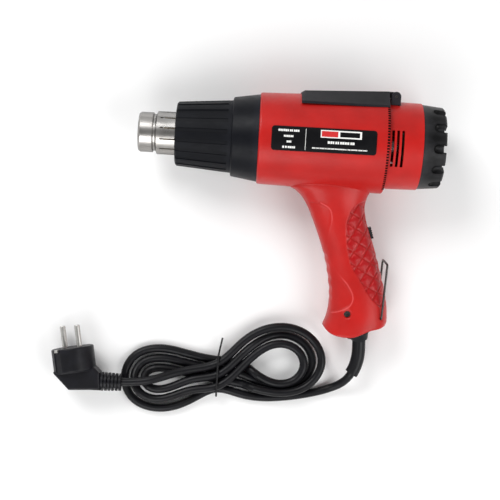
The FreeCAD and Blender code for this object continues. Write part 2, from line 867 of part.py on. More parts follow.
def screw(name, x, y, seat):
    """Pan-head screw with a cross recess."""
    out = 1 if seat > 0 else -1
    start = seat + out * 0.02
    shank = rod(name + "_shank", ("screw_core_radius",), SCREW_LENGTH, (x, y, start), Vector(0, 0, -out))
    head = rod(name + "_head", ("screw_head_radius",), HEAD_HEIGHT, (x, y, start), Vector(0, 0, out))
    body = fuse(name + "_body", [shank, head])
    top = start + out * HEAD_HEIGHT
    low = min(top - out * 1.0, top + out * 0.5)
    bars = [block(name + "_slot_a", (x - 1.6, y - 0.35, low), (x + 1.6, y + 0.35, low + 1.5)),
            block(name + "_slot_b", (x - 0.35, y - 1.6, low), (x + 0.35, y + 1.6, low + 1.5))]
    return cut(name, body, group(name + "_cross", bars))


# ---------------------------------------------------------------- stand, bail and switch


def stand_section(x, top):
    flat = size("stand_flat_half_width")
    half = size("stand_half_width")
    low = size("stand_lower_edge")
    corners = [(-half, low), (-half, low + 2), (-flat, top), (flat, top), (half, low + 2), (half, low)]
    points = [Vector(x, y, z) for z, y in corners]
    return Part.makePolygon(points + [points[0]])


def make_stand():
    front = size("stand_front")
    end = size("stand_body_end")
    pivot = Vector(size("stand_pivot_x"), size("stand_pivot_y"), 0)
    barrel = size("stand_barrel_radius")
    sections = [stand_section(front, size("stand_top_front") - 1.5),
                stand_section(front + 2.5, size("stand_top_front"))]
    leg = Part.makeLoft(sections, True, True)
    leg = leg.fuse(Part.makeLoft([sections[1], stand_section(end, size("stand_top_rear"))], True, True))
    knuckle = size("stand_knuckle_half")
    # the neck hangs less far below the pin than the eye does, and so swings clear of the shells' edge
    neck_start = Vector(end - 1, pivot.y - STAND_NECK_DROP, -knuckle)
    neck = Part.makeBox(pivot.x - end + 1, barrel + STAND_NECK_DROP, 2 * knuckle, neck_start)
    eye = Part.makeCylinder(barrel, 2 * knuckle, Vector(pivot.x, pivot.y, -knuckle), Vector(0, 0, 1))
    leg = leg.fuse([neck, eye])
    bore = Part.makeCylinder(size("stand_pin_radius") + size("running_gap"), 60,
                             Vector(pivot.x, pivot.y, -30), Vector(0, 0, 1))
    clear = STAND_CLEARANCE
    body_front = size("body_front")
    body = revolved([(body_front, 0), (body_front, size("body_front_radius") + clear),
                     (size("body_rear") + clear, size("body_rear_radius") + clear),
                     (size("body_rear") + clear, size("cover_radius") + clear),
                     (size("cover_rear"), size("cover_radius") + clear), (size("cover_rear"), 0)])
    leg = leg.cut(bore).cut(body)
    node(solid("stand_leg_shape", leg.removeSplitter()), "stand_leg")
    half = knuckle + SIDE_PLAY + size("ear_thickness")
    pin = rod("stand_pin_rod", ("stand_pin_radius",), 2 * half, (pivot.x, pivot.y, -half), Vector(0, 0, 1))
    node(pin, "stand_pin")


def swept(points, radius, tangents=None):
    """Round bar of a radius along a smooth line through points."""
    curve = Part.BSplineCurve()
    if tangents:
        curve.interpolate(Points=points, InitialTangent=tangents[0], FinalTangent=tangents[1])
    else:
        curve.interpolate(points)
    return swept_along(Part.Wire([curve.toShape()]), radius)


def swept_along(path, radius):
    start = path.Edges[0].valueAt(path.Edges[0].FirstParameter)
    direction = path.Edges[0].tangentAt(path.Edges[0].FirstParameter)
    ring = Part.Wire([Part.makeCircle(radius, start, direction)])
    return path.makePipeShell([ring], True, False)


def make_hanging_bail():
    pivot_x, pivot_y = BAIL_PIVOT
    tip_x, tip_y = BAIL_TIP
    half = BAIL_HALF_WIDTH
    corners = [Vector(pivot_x, pivot_y, -half + BAIL_PIN), Vector(pivot_x, pivot_y, -half),
               Vector(tip_x, tip_y, -half), Vector(tip_x, tip_y, half),
               Vector(pivot_x, pivot_y, half), Vector(pivot_x, pivot_y, half - BAIL_PIN)]
    path = bent_wire(corners, BAIL_BEND)
    node(solid("hanging_bail_wire", swept_along(path, BAIL_WIRE)), "hanging_bail")


def bent_wire(corners, bend):
    """Polyline with every inner corner replaced by a curve that starts a bend length before it."""
    edges = []
    last = corners[0]
    for index in range(1, len(corners) - 1):
        corner = corners[index]
        before = (corners[index - 1] - corner).normalize() * bend
        after = (corners[index + 1] - corner).normalize() * bend
        edges.append(Part.makeLine(last, corner + before))
        curve = Part.BezierCurve()
        curve.setPoles([corner + before, corner, corner + after])
        edges.append(curve.toShape())
        last = corner + after
    edges.append(Part.makeLine(last, corners[-1]))
    return Part.Wire(edges)


def make_switch():
    frame = gun_roll().multiply(switch_frame())
    shift = -SWITCH_TRAVEL / 2
    half = SLIDER_LENGTH / 2
    cap = Part.makeBox(SLIDER_LENGTH, SLIDER_RISE, SLIDER_WIDTH, Vector(shift - half, -2.4, -SLIDER_WIDTH / 2))
    top = SLIDER_RISE - 2.4
    for step in (-3.0, -1.0, 1.0, 3.0):
        groove_start = Vector(shift + step, top, -SLIDER_WIDTH)
        groove = Part.makeCylinder(0.5, 2 * SLIDER_WIDTH, groove_start, Vector(0, 0, 1))
        cap = cap.cut(groove)
    stem = Part.makeBox(3.0, 4.6, 2.4, Vector(shift - 1.5, -7.0, -1.2))
    slider = solid("switch_slider_shape", cap.fuse(stem).removeSplitter())
    slider.Placement = frame
    node(slider, "switch_slider", rolled=False)
    case = Part.makeBox(22, 13, 13, Vector(-11, -17.5, -6.5))
    slot = Part.makeBox(3.0 + SWITCH_TRAVEL + 0.4, 6, 2.8, Vector(-1.5 - SWITCH_TRAVEL / 2 - 0.2, -7.6, -1.4))
    body = solid("switch_body_shape", case.cut(slot))
    body.Placement = frame
    node(body, "switch_body", rolled=False)


# ---------------------------------------------------------------- heater and air path


def make_heater():
    front = size("heater_front")
    rear = size("heater_rear")
    outer = size("mica_radius")
    node(hoop("mica_tube_ring", outer - size("mica_wall"), outer, front, rear - front), "mica_tube")
    half = CORE_HALF
    plates = [block("mica_plate_a", (front, -half, -0.5), (rear, half, 0.5)),
              block("mica_plate_b", (front, -0.5, -half), (rear, 0.5, half))]
    node(fuse("mica_core_cross", plates), "mica_core")
    helix = Part.makeHelix(COIL_PITCH, rear - front - 8, half + 0.75)
    start = Vector(half + 0.75, 0, 0)
    ring = Part.Wire([Part.makeCircle(0.6, start, Vector(0, 1, 0))])
    coil = Part.Wire(helix).makePipeShell([ring], True, True)
    winding = solid("heater_winding", coil)
    winding.Placement = Placement(Vector(front + 4, 0, 0), Rotation(Vector(0, 1, 0), 90))
    node(winding, "heater_coil")
    flange_start = size("nozzle_flange_end") + 0.1
    node(hoop("heater_flange_ring", 13.5, size("nozzle_flange_radius"), flange_start, 2.0), "heater_flange")
    cutout = rod("thermal_cutout_case", 3.2, 2.4, (flange_start + 2.1, 17.0, 0))
    node(cutout, "thermal_cutout")
    duct_start = flange_start + 2.2
    outer_cone = add("Cone", "duct_outside")
    inner_cone = add("Cone", "duct_inside")
    for cone, less in ((outer_cone, 0.0), (inner_cone, DUCT_WALL)):
        cone.Radius1 = DUCT_FRONT_RADIUS - less
        cone.Radius2 = DUCT_REAR_RADIUS - less
        cone.Height = DUCT_LENGTH
        cone.Placement = Placement(Vector(duct_start, 0, 0), Rotation(Vector(0, 1, 0), 90))
    node(cut("air_duct_cone", outer_cone, inner_cone), "air_duct")


def make_drive():
    front = size("motor_front")
    rear = size("motor_rear")
    radius = size("motor_radius")
    wall = size("motor_wall")
    shell = rod("motor_can_outside", radius, rear - front, (front, 0, 0))
    hollow = rod("motor_can_inside", radius - wall, rear - front - 2 * wall, (front + wall, 0, 0))
    bore = rod("motor_can_bore", 3.2, rear - front + 2, (front - 1, 0, 0))
    node(cut("motor_can_cut", cut("motor_can_shell", shell, hollow), bore), "motor_can")
    inside = radius - wall - 0.05
    magnets = []
    for side in (-1, 1):
        arc = hoop("magnet_ring_%d" % (side + 1), inside - MAGNET_THICKNESS, inside, front + 5, MAGNET_LENGTH)
        window = block("magnet_window_%d" % (side + 1), (front, min(0, side * 20), -8.5),
                       (rear, max(0, side * 20), 8.5))
        magnets.append(common("magnet_%d" % (side + 1), arc, window))
    node(group("motor_magnets_pair", magnets), "motor_magnets")
    bushes = []
    for name, start in (("front", front - 0.6), ("rear", rear - 3.4)):
        outside = rod("bush_%s_outside" % name, 3.15, 4.0, (start, 0, 0))
        hole = rod("bush_%s_hole" % name, ("shaft_radius", "running_gap"), 6.0, (start - 1, 0, 0))
        bushes.append(cut("bush_" + name, outside, hole))
    node(group("motor_bushes_pair", bushes), "motor_bushes")
    shaft_start = size("fan_front") - 2
    shaft = rod("rotor_shaft_rod", ("shaft_radius",), rear + 3 - shaft_start, (shaft_start, 0, 0))
    node(shaft, "rotor_shaft")
    stack_start = front + 7
    stack_radius = inside - MAGNET_THICKNESS - AIR_GAP
    stack = rod("armature_stack", stack_radius, STACK_LENGTH, (stack_start, 0, 0))
    neck = rod("armature_neck", 2.6, 3, (stack_start + STACK_LENGTH - 1, 0, 0))
    commutator = rod("armature_commutator", 3.6, 5, (stack_start + STACK_LENGTH + 1, 0, 0))
    hole = rod("armature_hole", ("shaft_radius", "cable_gap"), rear - front, (front, 0, 0))
    node(cut("armature_cut", fuse("armature_fused", [stack, commutator, neck]), hole), "armature")
    make_fan()
    carrier = [hoop("carrier_rim", 34.5, CARRIER_RADIUS, front + 2, 4),
               hoop("carrier_eye", radius + 0.05, radius + 3, front + 1, 8)]
    for index in range(4):
        arm = block("carrier_arm_%d" % index, (0, -2, radius + 1), (4, 2, 36))
        seat = Placement(Vector(front + 2, -2, radius + 1), Rotation())
        arm.Placement = turn_about_x(45 + index * 90).multiply(seat)
        carrier.append(arm)
    node(fuse("motor_carrier_fused", carrier), "motor_carrier")


def make_fan():
    start = size("fan_front")
    depth = size("fan_depth")
    hub = rod("fan_hub", 7.5, depth, (start, 0, 0))
    pieces = [hub]
    for index in range(int(size("fan_blades"))):
        blade = block("fan_blade_%d" % index, (0, 0, 6), (depth, 1.6, size("fan_radius")))
        pitch = Placement(Vector(start + depth / 2, 0, 6), Rotation(Vector(0, 0, 1), FAN_PITCH))
        blade.Placement = turn_about_x(index * 360.0 / size("fan_blades")).multiply(pitch)
        blade.Placement = blade.Placement.multiply(Placement(Vector(-depth / 2, -0.8, 0), Rotation()))
        pieces.append(blade)
    hole = rod("fan_hole", ("shaft_radius", "cable_gap"), depth + 6, (start - 3, 0, 0))
    node(cut("fan_cut", fuse("fan_fused", pieces), hole), "fan_impeller")


# ---------------------------------------------------------------- control electronics


def grip_frame():
    """Placement with X down the grip's centre line and Y towards its back, at the board's upper end."""
    down = Vector(GRIP_LOWER[0] - GRIP_UPPER[0], GRIP_LOWER[1] - GRIP_UPPER[1], 0).normalize()
    turn = Rotation(down, Vector(-down.y, down.x, 0), Vector(0, 0, 1), "XYZ")
    return Placement(Vector(GRIP_UPPER[0], GRIP_UPPER[1], 0), turn)


def in_grip(thing, label):
    thing.Placement = gun_roll().multiply(grip_frame()).multiply(thing.Placement)
    node(thing, label, rolled=False)


def make_electronics():
    in_grip(block("control_board_plate", (0, -8.5, -4.0), (38, 8.5, -2.4)), "control_board")
    sink = [block("sink_back", (3, -8, -2.3), (5, 8, 9.5))]
    for index in range(4):
        across = -7.5 + index * 4.6
        sink.append(block("sink_fin_%d" % index, (4.5, across, -2.3), (14, across + 1.2, 9.5)))
    in_grip(fuse("heat_sink_fused", sink), "triac_heat_sink")
    can = rod("capacitor_can", 4.4, 13, (19, -3.6, 2.2))
    in_grip(can, "capacitor")
    in_grip(block("choke_block", (19, 2.0, -2.3), (31, 7.5, 5.0)), "suppression_choke")


def make_wiring():
    """A pair of wires from the control board to the heater and a pair to the motor's rear end."""
    rear = size("motor_rear")
    to_heater = [(170, -58, 6), (168, -46, 10), (165, -34, 15), (150, -28, 23), (126, -22, 26), (100, -16, 21)]
    to_motor = [(180, -54, 3), (184, -42, 4), (193, -28, 5), (rear - 9, -19.5, 5), (rear + 1.5, -16.5, 5),
                (rear + 4, -10.5, 4), (rear + 2, -6.5, 4)]
    wires = []
    for run in (to_heater, to_motor):
        for side in (1, -1):
            points = [Vector(x, y, side * z) for x, y, z in run]
            wires.append(solid("wire_%d" % len(wires), swept(points, INNER_WIRE)))
    node(group("internal_wires_group", wires), "internal_wires")


def make_cord_clamp():
    x, y = CLAMP_CENTRE
    bar = block("clamp_bar", (x - 8.2, y - 3.5, size("cable_radius") + 0.3), (x + 8.2, y + 3.5, 8.0))
    holes = []
    screws = []
    for index, side in enumerate((-1, 1)):
        holes.append(rod("clamp_hole_%d" % index, 1.4, 10, (x + side * 6.7, y, 0), Vector(0, 0, 1)))
        shank = rod("clamp_shank_%d" % index, 1.2, 9, (x + side * 6.7, y, -0.9), Vector(0, 0, 1))
        head = rod("clamp_head_%d" % index, 1.85, 1.8, (x + side * 6.7, y, 8.05), Vector(0, 0, 1))
        screws.append(fuse("clamp_screw_%d" % index, [shank, head]))
    node(cut("clamp_cut", bar, group("clamp_holes", holes)), "cord_clamp")
    node(group("clamp_screws_pair", screws), "clamp_screws")


def make_label():
    """Thin plate bent over the body's upper flank."""
    low_x, high_x = LABEL_ENDS
    outer = revolved([(low_x, 0), (low_x, flank_radius(low_x) + LABEL_THICKNESS),
                      (high_x, flank_radius(high_x) + LABEL_THICKNESS), (high_x, 0)])
    inner = revolved([(low_x - 1, 0), (low_x - 1, flank_radius(low_x - 1) + 0.02),
                      (high_x + 1, flank_radius(high_x + 1) + 0.02), (high_x + 1, 0)])
    corner = Vector(low_x, LABEL_MIDDLE - LABEL_HALF_HEIGHT, 0)
    window = Part.makeBox(high_x - low_x, 2 * LABEL_HALF_HEIGHT, 60, corner)
    corners = [edge for edge in window.Edges if edge.Length > 59.9]
    window = window.makeFillet(LABEL_CORNER, corners)
    node(solid("rating_label_plate", outer.cut(inner).common(window)), "rating_label")


def flank_radius(x):
    share = (x - size("body_front")) / (size("body_rear") - size("body_front"))
    return size("body_front_radius") + share * (size("body_rear_radius") - size("body_front_radius"))


# ---------------------------------------------------------------- lead, coil, tie and plug


def arc_points(centre, semi_x, semi_y, angles, levels):
    """Waypoints round an ellipse, one per angle in degrees, each at its own height."""
    points = []
    for angle, level in zip(angles, levels):
        turn = math.radians(angle)
        points.append(Vector(centre[0] + semi_x * math.cos(turn), centre[1] + semi_y * math.sin(turn), level))
    return points


def right_lap(lap, low, high):
    """One turn right of the tie, entered high across the tie and left low; lap 0 is the outermost."""
    tie_x, tie_y = TIE
    level = low if lap == 1 else high
    centre = (132.0, -190.4 - 1.75 * lap)
    semi_x = 36.0 - 7.8 * lap
    semi_y = 29.0 - 5.7 * lap
    points = [Vector(tie_x, tie_y + 11.0 - 10.2 * lap, high), Vector(100.0, -174.6 - 10.9 * lap, high)]
    points += arc_points(centre, semi_x, semi_y, (90, 45, 0, -45, -90), [level] * 5)
    points += [Vector(112.0, -217.2 + 6.2 * lap, level), Vector(99.0, -214.4 + 8.6 * lap, low),
               Vector(tie_x, tie_y - 3.9 + 8.4 * lap, low)]
    return points


def left_lap(rank, low, high):
    """One turn left of the tie; rank 0 is the outermost, whose way back stays on the bench."""
    back = low if rank == 0 else high
    centre = (22.0 + 1.5 * rank, -213.2)
    semi_x = 27.0 - 7.2 * rank
    semi_y = 26.2 - 8.6 * rank
    steps = [low, low, (low + back) / 2, back, back]
    points = [Vector(52.0, -190.8 - 8.4 * rank, low)]
    points += arc_points(centre, semi_x, semi_y, (90, 135, 180, 225, 270), steps)
    points += [Vector(54.0, -231.0 + 9.4 * rank, back)]
    return points


def coil_points():
    """Waypoints of the lead: out of the plug, round the tied figure-of-eight coil, up into the boot."""
    low = size("bench_level") + size("cable_radius") + 0.15
    high = low + 2 * size("cable_radius") + 0.2
    plug_level = size("bench_level") + size("plug_radius")
    tie_x, tie_y = TIE
    points = [Vector(-29.0, COIL_MIDDLE, plug_level), Vector(-7.0, COIL_MIDDLE + 0.3, plug_level),
              Vector(15.0, COIL_MIDDLE + 2.4, plug_level), Vector(50.0, -204.0, high + 1.0)]
    for lap in range(3):
        points += right_lap(lap, low, high)
        points += left_lap(2 - lap, low, high)
    points += [Vector(tie_x, tie_y - 12.4, low), Vector(99.0, -223.4, low), Vector(133.0, -224.0, low),
               Vector(158.0, -219.4, low), Vector(176.0, -213.8, low + 0.6)]
    boot = [on_gun(x, y) for x, y in BOOT_POINTS]
    return points + [Vector(187.5, -207.0, low + 6.5)] + boot[::-1] + [on_gun(196.5, -147.0)]


def gentle_slopes(marks, levels):
    """Slopes for a height curve through levels that never overshoots them."""
    steps = [(levels[i + 1] - levels[i]) / (marks[i + 1] - marks[i]) for i in range(len(marks) - 1)]
    slopes = [0.0]
    for before, after in zip(steps, steps[1:]):
        together = before * after > 0
        slopes.append(2 * before * after / (before + after) if together else 0.0)
    return slopes + [steps[-1]]


def blend_height(share, span, low, high, low_slope, high_slope):
    """Cubic height between two waypoints, share of the way along a span."""
    rise = share * share * (3 - 2 * share)
    lift = share * (1 - share) * (1 - share) * low_slope * span
    drop = share * share * (share - 1) * high_slope * span
    return low + (high - low) * rise + lift + drop


def lead_path():
    """Smooth line through the waypoints: a plan curve, with heights blended along it."""
    points = coil_points()
    flat = [Vector(point.x, point.y, 0) for point in points]
    marks = [0.0]
    for before, after in zip(flat, flat[1:]):
        marks.append(marks[-1] + before.distanceToPoint(after))
    plan = Part.BSplineCurve()
    plan.interpolate(Points=flat, Parameters=marks)
    levels = [point.z for point in points]
    slopes = gentle_slopes(marks, levels)
    fine = []
    for index in range(len(points) - 1):
        span = marks[index + 1] - marks[index]
        count = max(2, int(span / LEAD_STEP))
        for step in range(count):
            share = step / count
            spot = plan.value(marks[index] + share * span)
            spot.z = blend_height(share, span, *levels[index:index + 2], *slopes[index:index + 2])
            fine.append(spot)
    fine.append(points[-1])
    curve = Part.BSplineCurve()
    curve.interpolate(fine)
    return curve


def round_bar(curve, radius, start=0.0, end=1.0):
    """Round bar along part of a curve, its rings set upright so that the skin doesn't twist."""
    first = curve.parameterAtDistance(curve.length() * start, curve.FirstParameter)
    last = curve.parameterAtDistance(curve.length() * end, curve.FirstParameter)
    length = curve.length() * (end - start)
    count = max(2, int(length / LEAD_STEP))
    rings = []
    for index in range(count + 1):
        at = first + (last - first) * index / count
        along = Vector(*curve.tangent(at)[0])
        upright = (Vector(0, 0, 1) - along * along.z).normalize()
        ring = Part.Circle(curve.value(at), along, radius)
        ring.XAxis = upright
        rings.append(ring.toShape())
    faces = [Part.makeRuledSurface(before, after) for before, after in zip(rings, rings[1:])]
    caps = [Part.Face(Part.Wire([rings[0]])), Part.Face(Part.Wire([rings[-1]]))]
    skin = Part.Shell(faces + caps)
    skin.sewShape()
    return Part.Solid(skin)


def make_lead():
    path = lead_path()
    cable = round_bar(path, size("cable_radius"))
    wide = size("cable_radius") + size("boot_gap")
    plug_end = round_bar(path, wide, 0.0, 0.06)
    boot_end = round_bar(path, wide, 0.93, 1.0)
    node(solid("power_cable_bar", cable), "power_cable", rolled=False)
    boot = make_boot_shape().cut(boot_end)
    node(solid("cable_boot_shape", boot), "cable_boot", rolled=False)
    make_plug(plug_end)
    make_tie()


def make_boot_shape():
    """Bend-relief boot: a flange under the sloping base, a neck through it and a curved sleeve."""
    points = [on_gun(x, y) for x, y in BOOT_POINTS]
    down = on_gun(0, -1)
    sleeve = swept(points, BOOT_RADIUS)
    neck = Part.makeCylinder(BOOT_NECK_RADIUS, BOOT_NECK_LENGTH, points[0] - down * 6, down)
    inner_collar = Part.makeCylinder(BOOT_INNER_RADIUS, 2.8, points[0] - down * 6, down)
    slope = math.radians(BASE_SLOPE)
    normal = on_gun(math.sin(slope), -math.cos(slope))
    flange_centre = on_gun(*FLANGE_CENTRE)
    flange = Part.makeCylinder(BOOT_COLLAR_RADIUS, 2.0, flange_centre, normal)
    skirt = Part.makeCone(BOOT_COLLAR_RADIUS - 1.5, BOOT_RADIUS, 6.0, flange_centre + normal * 2, normal)
    return sleeve.fuse([neck, inner_collar, flange, skirt])


def plug_frame():
    """Placement with X along the pins, Y across the plug in the bench plane, Z up."""
    return Placement(Vector(PLUG_FACE[0], PLUG_FACE[1], size("bench_level") + size("plug_radius")),
                     Rotation(Vector(0, 0, 1), PLUG_HEADING))


def plug_prism(points, half_width):
    corners = [Vector(x, y, -half_width) for x, y in points]
    return Part.Face(Part.makePolygon(corners + [corners[0]])).extrude(Vector(0, 0, 2 * half_width))


def make_plug(clear):
    """Angled earthed plug: a round head, a flat neck to one side and a ribbed strain relief."""
    frame = plug_frame()
    sides = plug_pin_seats()
    body = plug_head(sides["clips"]).fuse([plug_neck()] + strain_relief(frame.inverse()))
    for seat in sides["pins"]:
        hole = Part.makeCylinder(PIN_SHANK_RADIUS + 0.02, PIN_SHANK + 0.1, seat - Vector(PIN_SHANK, 0, 0),
                                 Vector(1, 0, 0))
        body = body.cut(hole)
    for seat in sides["clips"]:
        body = body.cut(clip_shape(seat, 0.05))
    shape = body.removeSplitter()
    shape.Placement = frame
    node(solid("plug_body_shape", shape.cut(clear)), "plug_body", rolled=False)
    pins = []
    for number, seat in enumerate(sides["pins"]):
        pin = plug_pin(seat)
        pin.Placement = frame
        pins.append(solid("plug_pin_%d" % number, pin))
    node(group("plug_pins_pair", pins), "plug_pins", rolled=False)
    clips = []
    for number, seat in enumerate(sides["clips"]):
        clip = clip_shape(seat, 0.0)
        clip.Placement = frame.multiply(clip.Placement)
        clips.append(solid("earth_clip_%d" % number, clip))
    node(group("earth_clips_pair", clips), "earth_clips", rolled=False)


def plug_head(clip_seats):
    """Round head with a channel down each side for the earth clips."""
    head = Part.makeCylinder(size("plug_radius"), PLUG_HEAD_DEPTH, Vector(), Vector(-1, 0, 0))
    for station, edge in ((0.0, PLUG_FRONT_EDGE), (-PLUG_HEAD_DEPTH, PLUG_BACK_EDGE)):
        rim = [item for item in head.Edges
               if isinstance(item.Curve, Part.Circle) and abs(item.Curve.Center.x - station) < 0.1]
        head = head.makeFillet(edge, rim)
    floor = size("plug_radius") - CHANNEL_DEPTH
    for seat in clip_seats:
        outward = Vector(seat).normalize()
        across = Vector(1, 0, 0).cross(outward)
        channel = Part.makeBox(2 * PLUG_HEAD_DEPTH, CHANNEL_WIDTH, 6,
                               Vector(-1.5 * PLUG_HEAD_DEPTH, -CHANNEL_WIDTH / 2, floor))
        channel.Placement = Placement(Vector(), Rotation(Vector(1, 0, 0), across, outward, "XYZ"))
        head = head.cut(channel)
    return head


def plug_neck():
    neck = plug_prism(PLUG_NECK, PLUG_NECK_HALF)
    flat = [edge for edge in neck.Edges
            if abs(edge.Vertexes[0].Z - edge.Vertexes[-1].Z) < 0.1 and edge.CenterOfMass.x < -20.0]
    return neck.makeFillet(PLUG_NECK_EDGE, flat)


def strain_relief(to_plug):
    """Ribs round the lead where it leaves the plug."""
    level = size("bench_level") + size("plug_radius")
    start = to_plug.multVec(Vector(RELIEF_START, COIL_MIDDLE, level))
    along = (to_plug.multVec(Vector(RELIEF_START + 10, COIL_MIDDLE, level)) - start).normalize()
    pieces = [Part.makeCylinder(RELIEF_CORE, 6, start - along * 6, along)]
    for index in range(RELIEF_RIBS):
        rib_start = start + along * (index * RELIEF_PITCH)
        grow = RELIEF_RADIUS - index * 0.12
        rib = rib_start + along * (RELIEF_PITCH * 0.3)
        pieces.append(Part.makeCylinder(RELIEF_CORE, RELIEF_PITCH, rib_start, along))
        pieces.append(Part.makeCylinder(grow, RELIEF_PITCH * 0.6, rib, along))
    return pieces


def plug_pin(seat):
    """Contact pin with a rounded tip and a thinner shank inside the plug."""
    forward = Vector(1, 0, 0)
    pin = Part.makeCylinder(size("plug_pin_radius"), size("plug_pin_length") - PIN_ROOT,
                            seat + forward * PIN_ROOT, forward)
    tip = [edge for edge in pin.Edges if isinstance(edge.Curve, Part.Circle) and edge.Curve.Center.x > 2]
    pin = pin.makeFillet(1.0, tip)
    shank = Part.makeCylinder(PIN_SHANK_RADIUS, PIN_SHANK + PIN_ROOT + 0.5, seat - forward * PIN_SHANK, forward)
    return pin.fuse(shank)


def plug_pin_seats():
    """Seats of the pins and, a quarter turn on, of the earth clips, on the plug's face."""
    pair = math.radians(PLUG_PIN_TILT)
    half = size("plug_pin_spacing") / 2
    rim = size("plug_radius") - 1.6
    pin = Vector(0, -math.cos(pair), math.sin(pair))
    side = Vector(0, math.sin(pair), math.cos(pair))
    return {"pins": [pin * half, pin * -half], "clips": [side * rim, side * -rim]}


def clip_shape(seat, extra):
    outward = Vector(seat).normalize()
    across = Vector(1, 0, 0).cross(outward)
    length = CLIP_LENGTH + extra
    width = CLIP_WIDTH + 2 * extra
    box = Part.makeBox(length, width, CLIP_DEPTH + 2 * extra, Vector(-length, -width / 2, -CLIP_SINK - extra))
    box.Placement = Placement(seat, Rotation(Vector(1, 0, 0), across, outward, "XYZ"))
    return box


def make_tie():
    """Wire tie drawn round the strands, with its twisted end standing out on the nozzle side."""
    tie_x, tie_y = TIE
    low = size("bench_level")
    half = TIE_HALF_WIDTH
    height = 4 * size("cable_radius") + 0.1
    corners = [Vector(tie_x, tie_y - half, low + height / 2), Vector(tie_x, tie_y - half, low + height + 1.5),
               Vector(tie_x, tie_y + half, low + height + 1.5), Vector(tie_x, tie_y + half, low + 1.4)]
    path = bent_wire(corners, 1.2)
    band = swept_along(path, TIE_WIRE)
    stub = Part.makeCylinder(TIE_WIRE, 16, Vector(tie_x, tie_y + half, low + height / 2), Vector(0.18, 1, 0.1))
    node(solid("cable_tie_wire", band.fuse(stub).removeSplitter()), "cable_tie", rolled=False)


# ---------------------------------------------------------------- build and export


def check_document():
    for thing in doc.Objects:
        bad = [state for state in thing.State if state in ("Invalid", "Error")]
        if bad:
            raise RuntimeError("%s: %s" % (thing.Name, bad))
    for thing in nodes:
        if thing.Shape.isNull() or not thing.Shape.isValid():
            raise RuntimeError("bad shape: " + thing.Label)


def export_nodes():
    os.makedirs("parts", exist_ok=True)
    for thing in nodes:
        thing.Shape.exportStep(os.path.join("parts", thing.Label + ".step"))


make_nozzle_tube()
make_nozzle_guard()
make_front_collar()
make_motor_cover()
make_stand_lugs()
make_temperature_dial()
make_potentiometer()
make_shells()
make_screws()
make_stand()
make_hanging_bail()
make_switch()
make_heater()
make_drive()
make_electronics()
make_wiring()
make_cord_clamp()
make_label()
make_lead()
doc.recompute()
check_document()
export_nodes()
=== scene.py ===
import json
import math
import random

import bpy
import numpy as np
from mathutils import Matrix, Vector


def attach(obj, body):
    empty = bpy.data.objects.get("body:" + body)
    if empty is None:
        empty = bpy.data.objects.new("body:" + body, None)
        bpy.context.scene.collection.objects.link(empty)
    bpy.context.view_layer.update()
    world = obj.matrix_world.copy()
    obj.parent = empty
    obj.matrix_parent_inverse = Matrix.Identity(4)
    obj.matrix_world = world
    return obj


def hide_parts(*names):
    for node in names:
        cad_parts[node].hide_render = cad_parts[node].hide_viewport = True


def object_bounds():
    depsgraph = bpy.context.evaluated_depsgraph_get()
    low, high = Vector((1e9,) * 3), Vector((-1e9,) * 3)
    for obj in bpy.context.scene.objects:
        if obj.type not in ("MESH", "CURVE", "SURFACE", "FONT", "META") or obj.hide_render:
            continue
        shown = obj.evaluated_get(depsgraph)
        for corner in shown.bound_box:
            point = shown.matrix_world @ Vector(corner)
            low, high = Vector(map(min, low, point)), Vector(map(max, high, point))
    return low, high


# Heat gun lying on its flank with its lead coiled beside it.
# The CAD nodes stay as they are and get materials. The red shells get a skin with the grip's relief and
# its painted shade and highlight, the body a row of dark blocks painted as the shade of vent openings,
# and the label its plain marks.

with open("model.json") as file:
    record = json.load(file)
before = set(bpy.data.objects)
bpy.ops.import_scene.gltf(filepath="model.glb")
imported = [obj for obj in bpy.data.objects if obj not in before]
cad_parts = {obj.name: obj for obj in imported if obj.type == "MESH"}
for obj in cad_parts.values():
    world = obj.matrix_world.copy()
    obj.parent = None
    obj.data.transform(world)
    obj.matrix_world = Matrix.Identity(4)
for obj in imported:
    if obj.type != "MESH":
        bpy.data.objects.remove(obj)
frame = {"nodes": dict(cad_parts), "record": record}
cad_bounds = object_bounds()

MM = 0.001
record = frame["record"]

# ---------------------------------------------------------------- the gun's own frame


def joint(name):
    return next(item for item in record["behaviour"]["joints"] if item["name"] == name)


# The stand's hinge axis runs across the gun, so it holds the roll that the gun lies at.
across_gun = -Vector(joint("stand_fold")["axis"])
ROLL = math.atan2(-across_gun.y, across_gun.z)
TO_ROW = np.array(Matrix.Rotation(ROLL, 3, "X"))
TO_GUN = np.array(Matrix.Rotation(-ROLL, 3, "X"))


def to_gun(points):
    """Row-frame metres to gun-frame millimetres."""
    return points @ TO_GUN.T / MM


def from_gun(points):
    """Gun-frame millimetres to row-frame metres."""
    return points @ TO_ROW.T * MM


# ---------------------------------------------------------------- materials


# the colour sockets of a mix node, which share their names with its other kinds of socket
MIX_FIRST = 6
MIX_SECOND = 7
MIX_RESULT = 2

# heights of fine relief in metres
PLASTIC_GRAIN = 0.00006
RUBBER_GRAIN = 0.00005
METAL_LINES = 0.00003


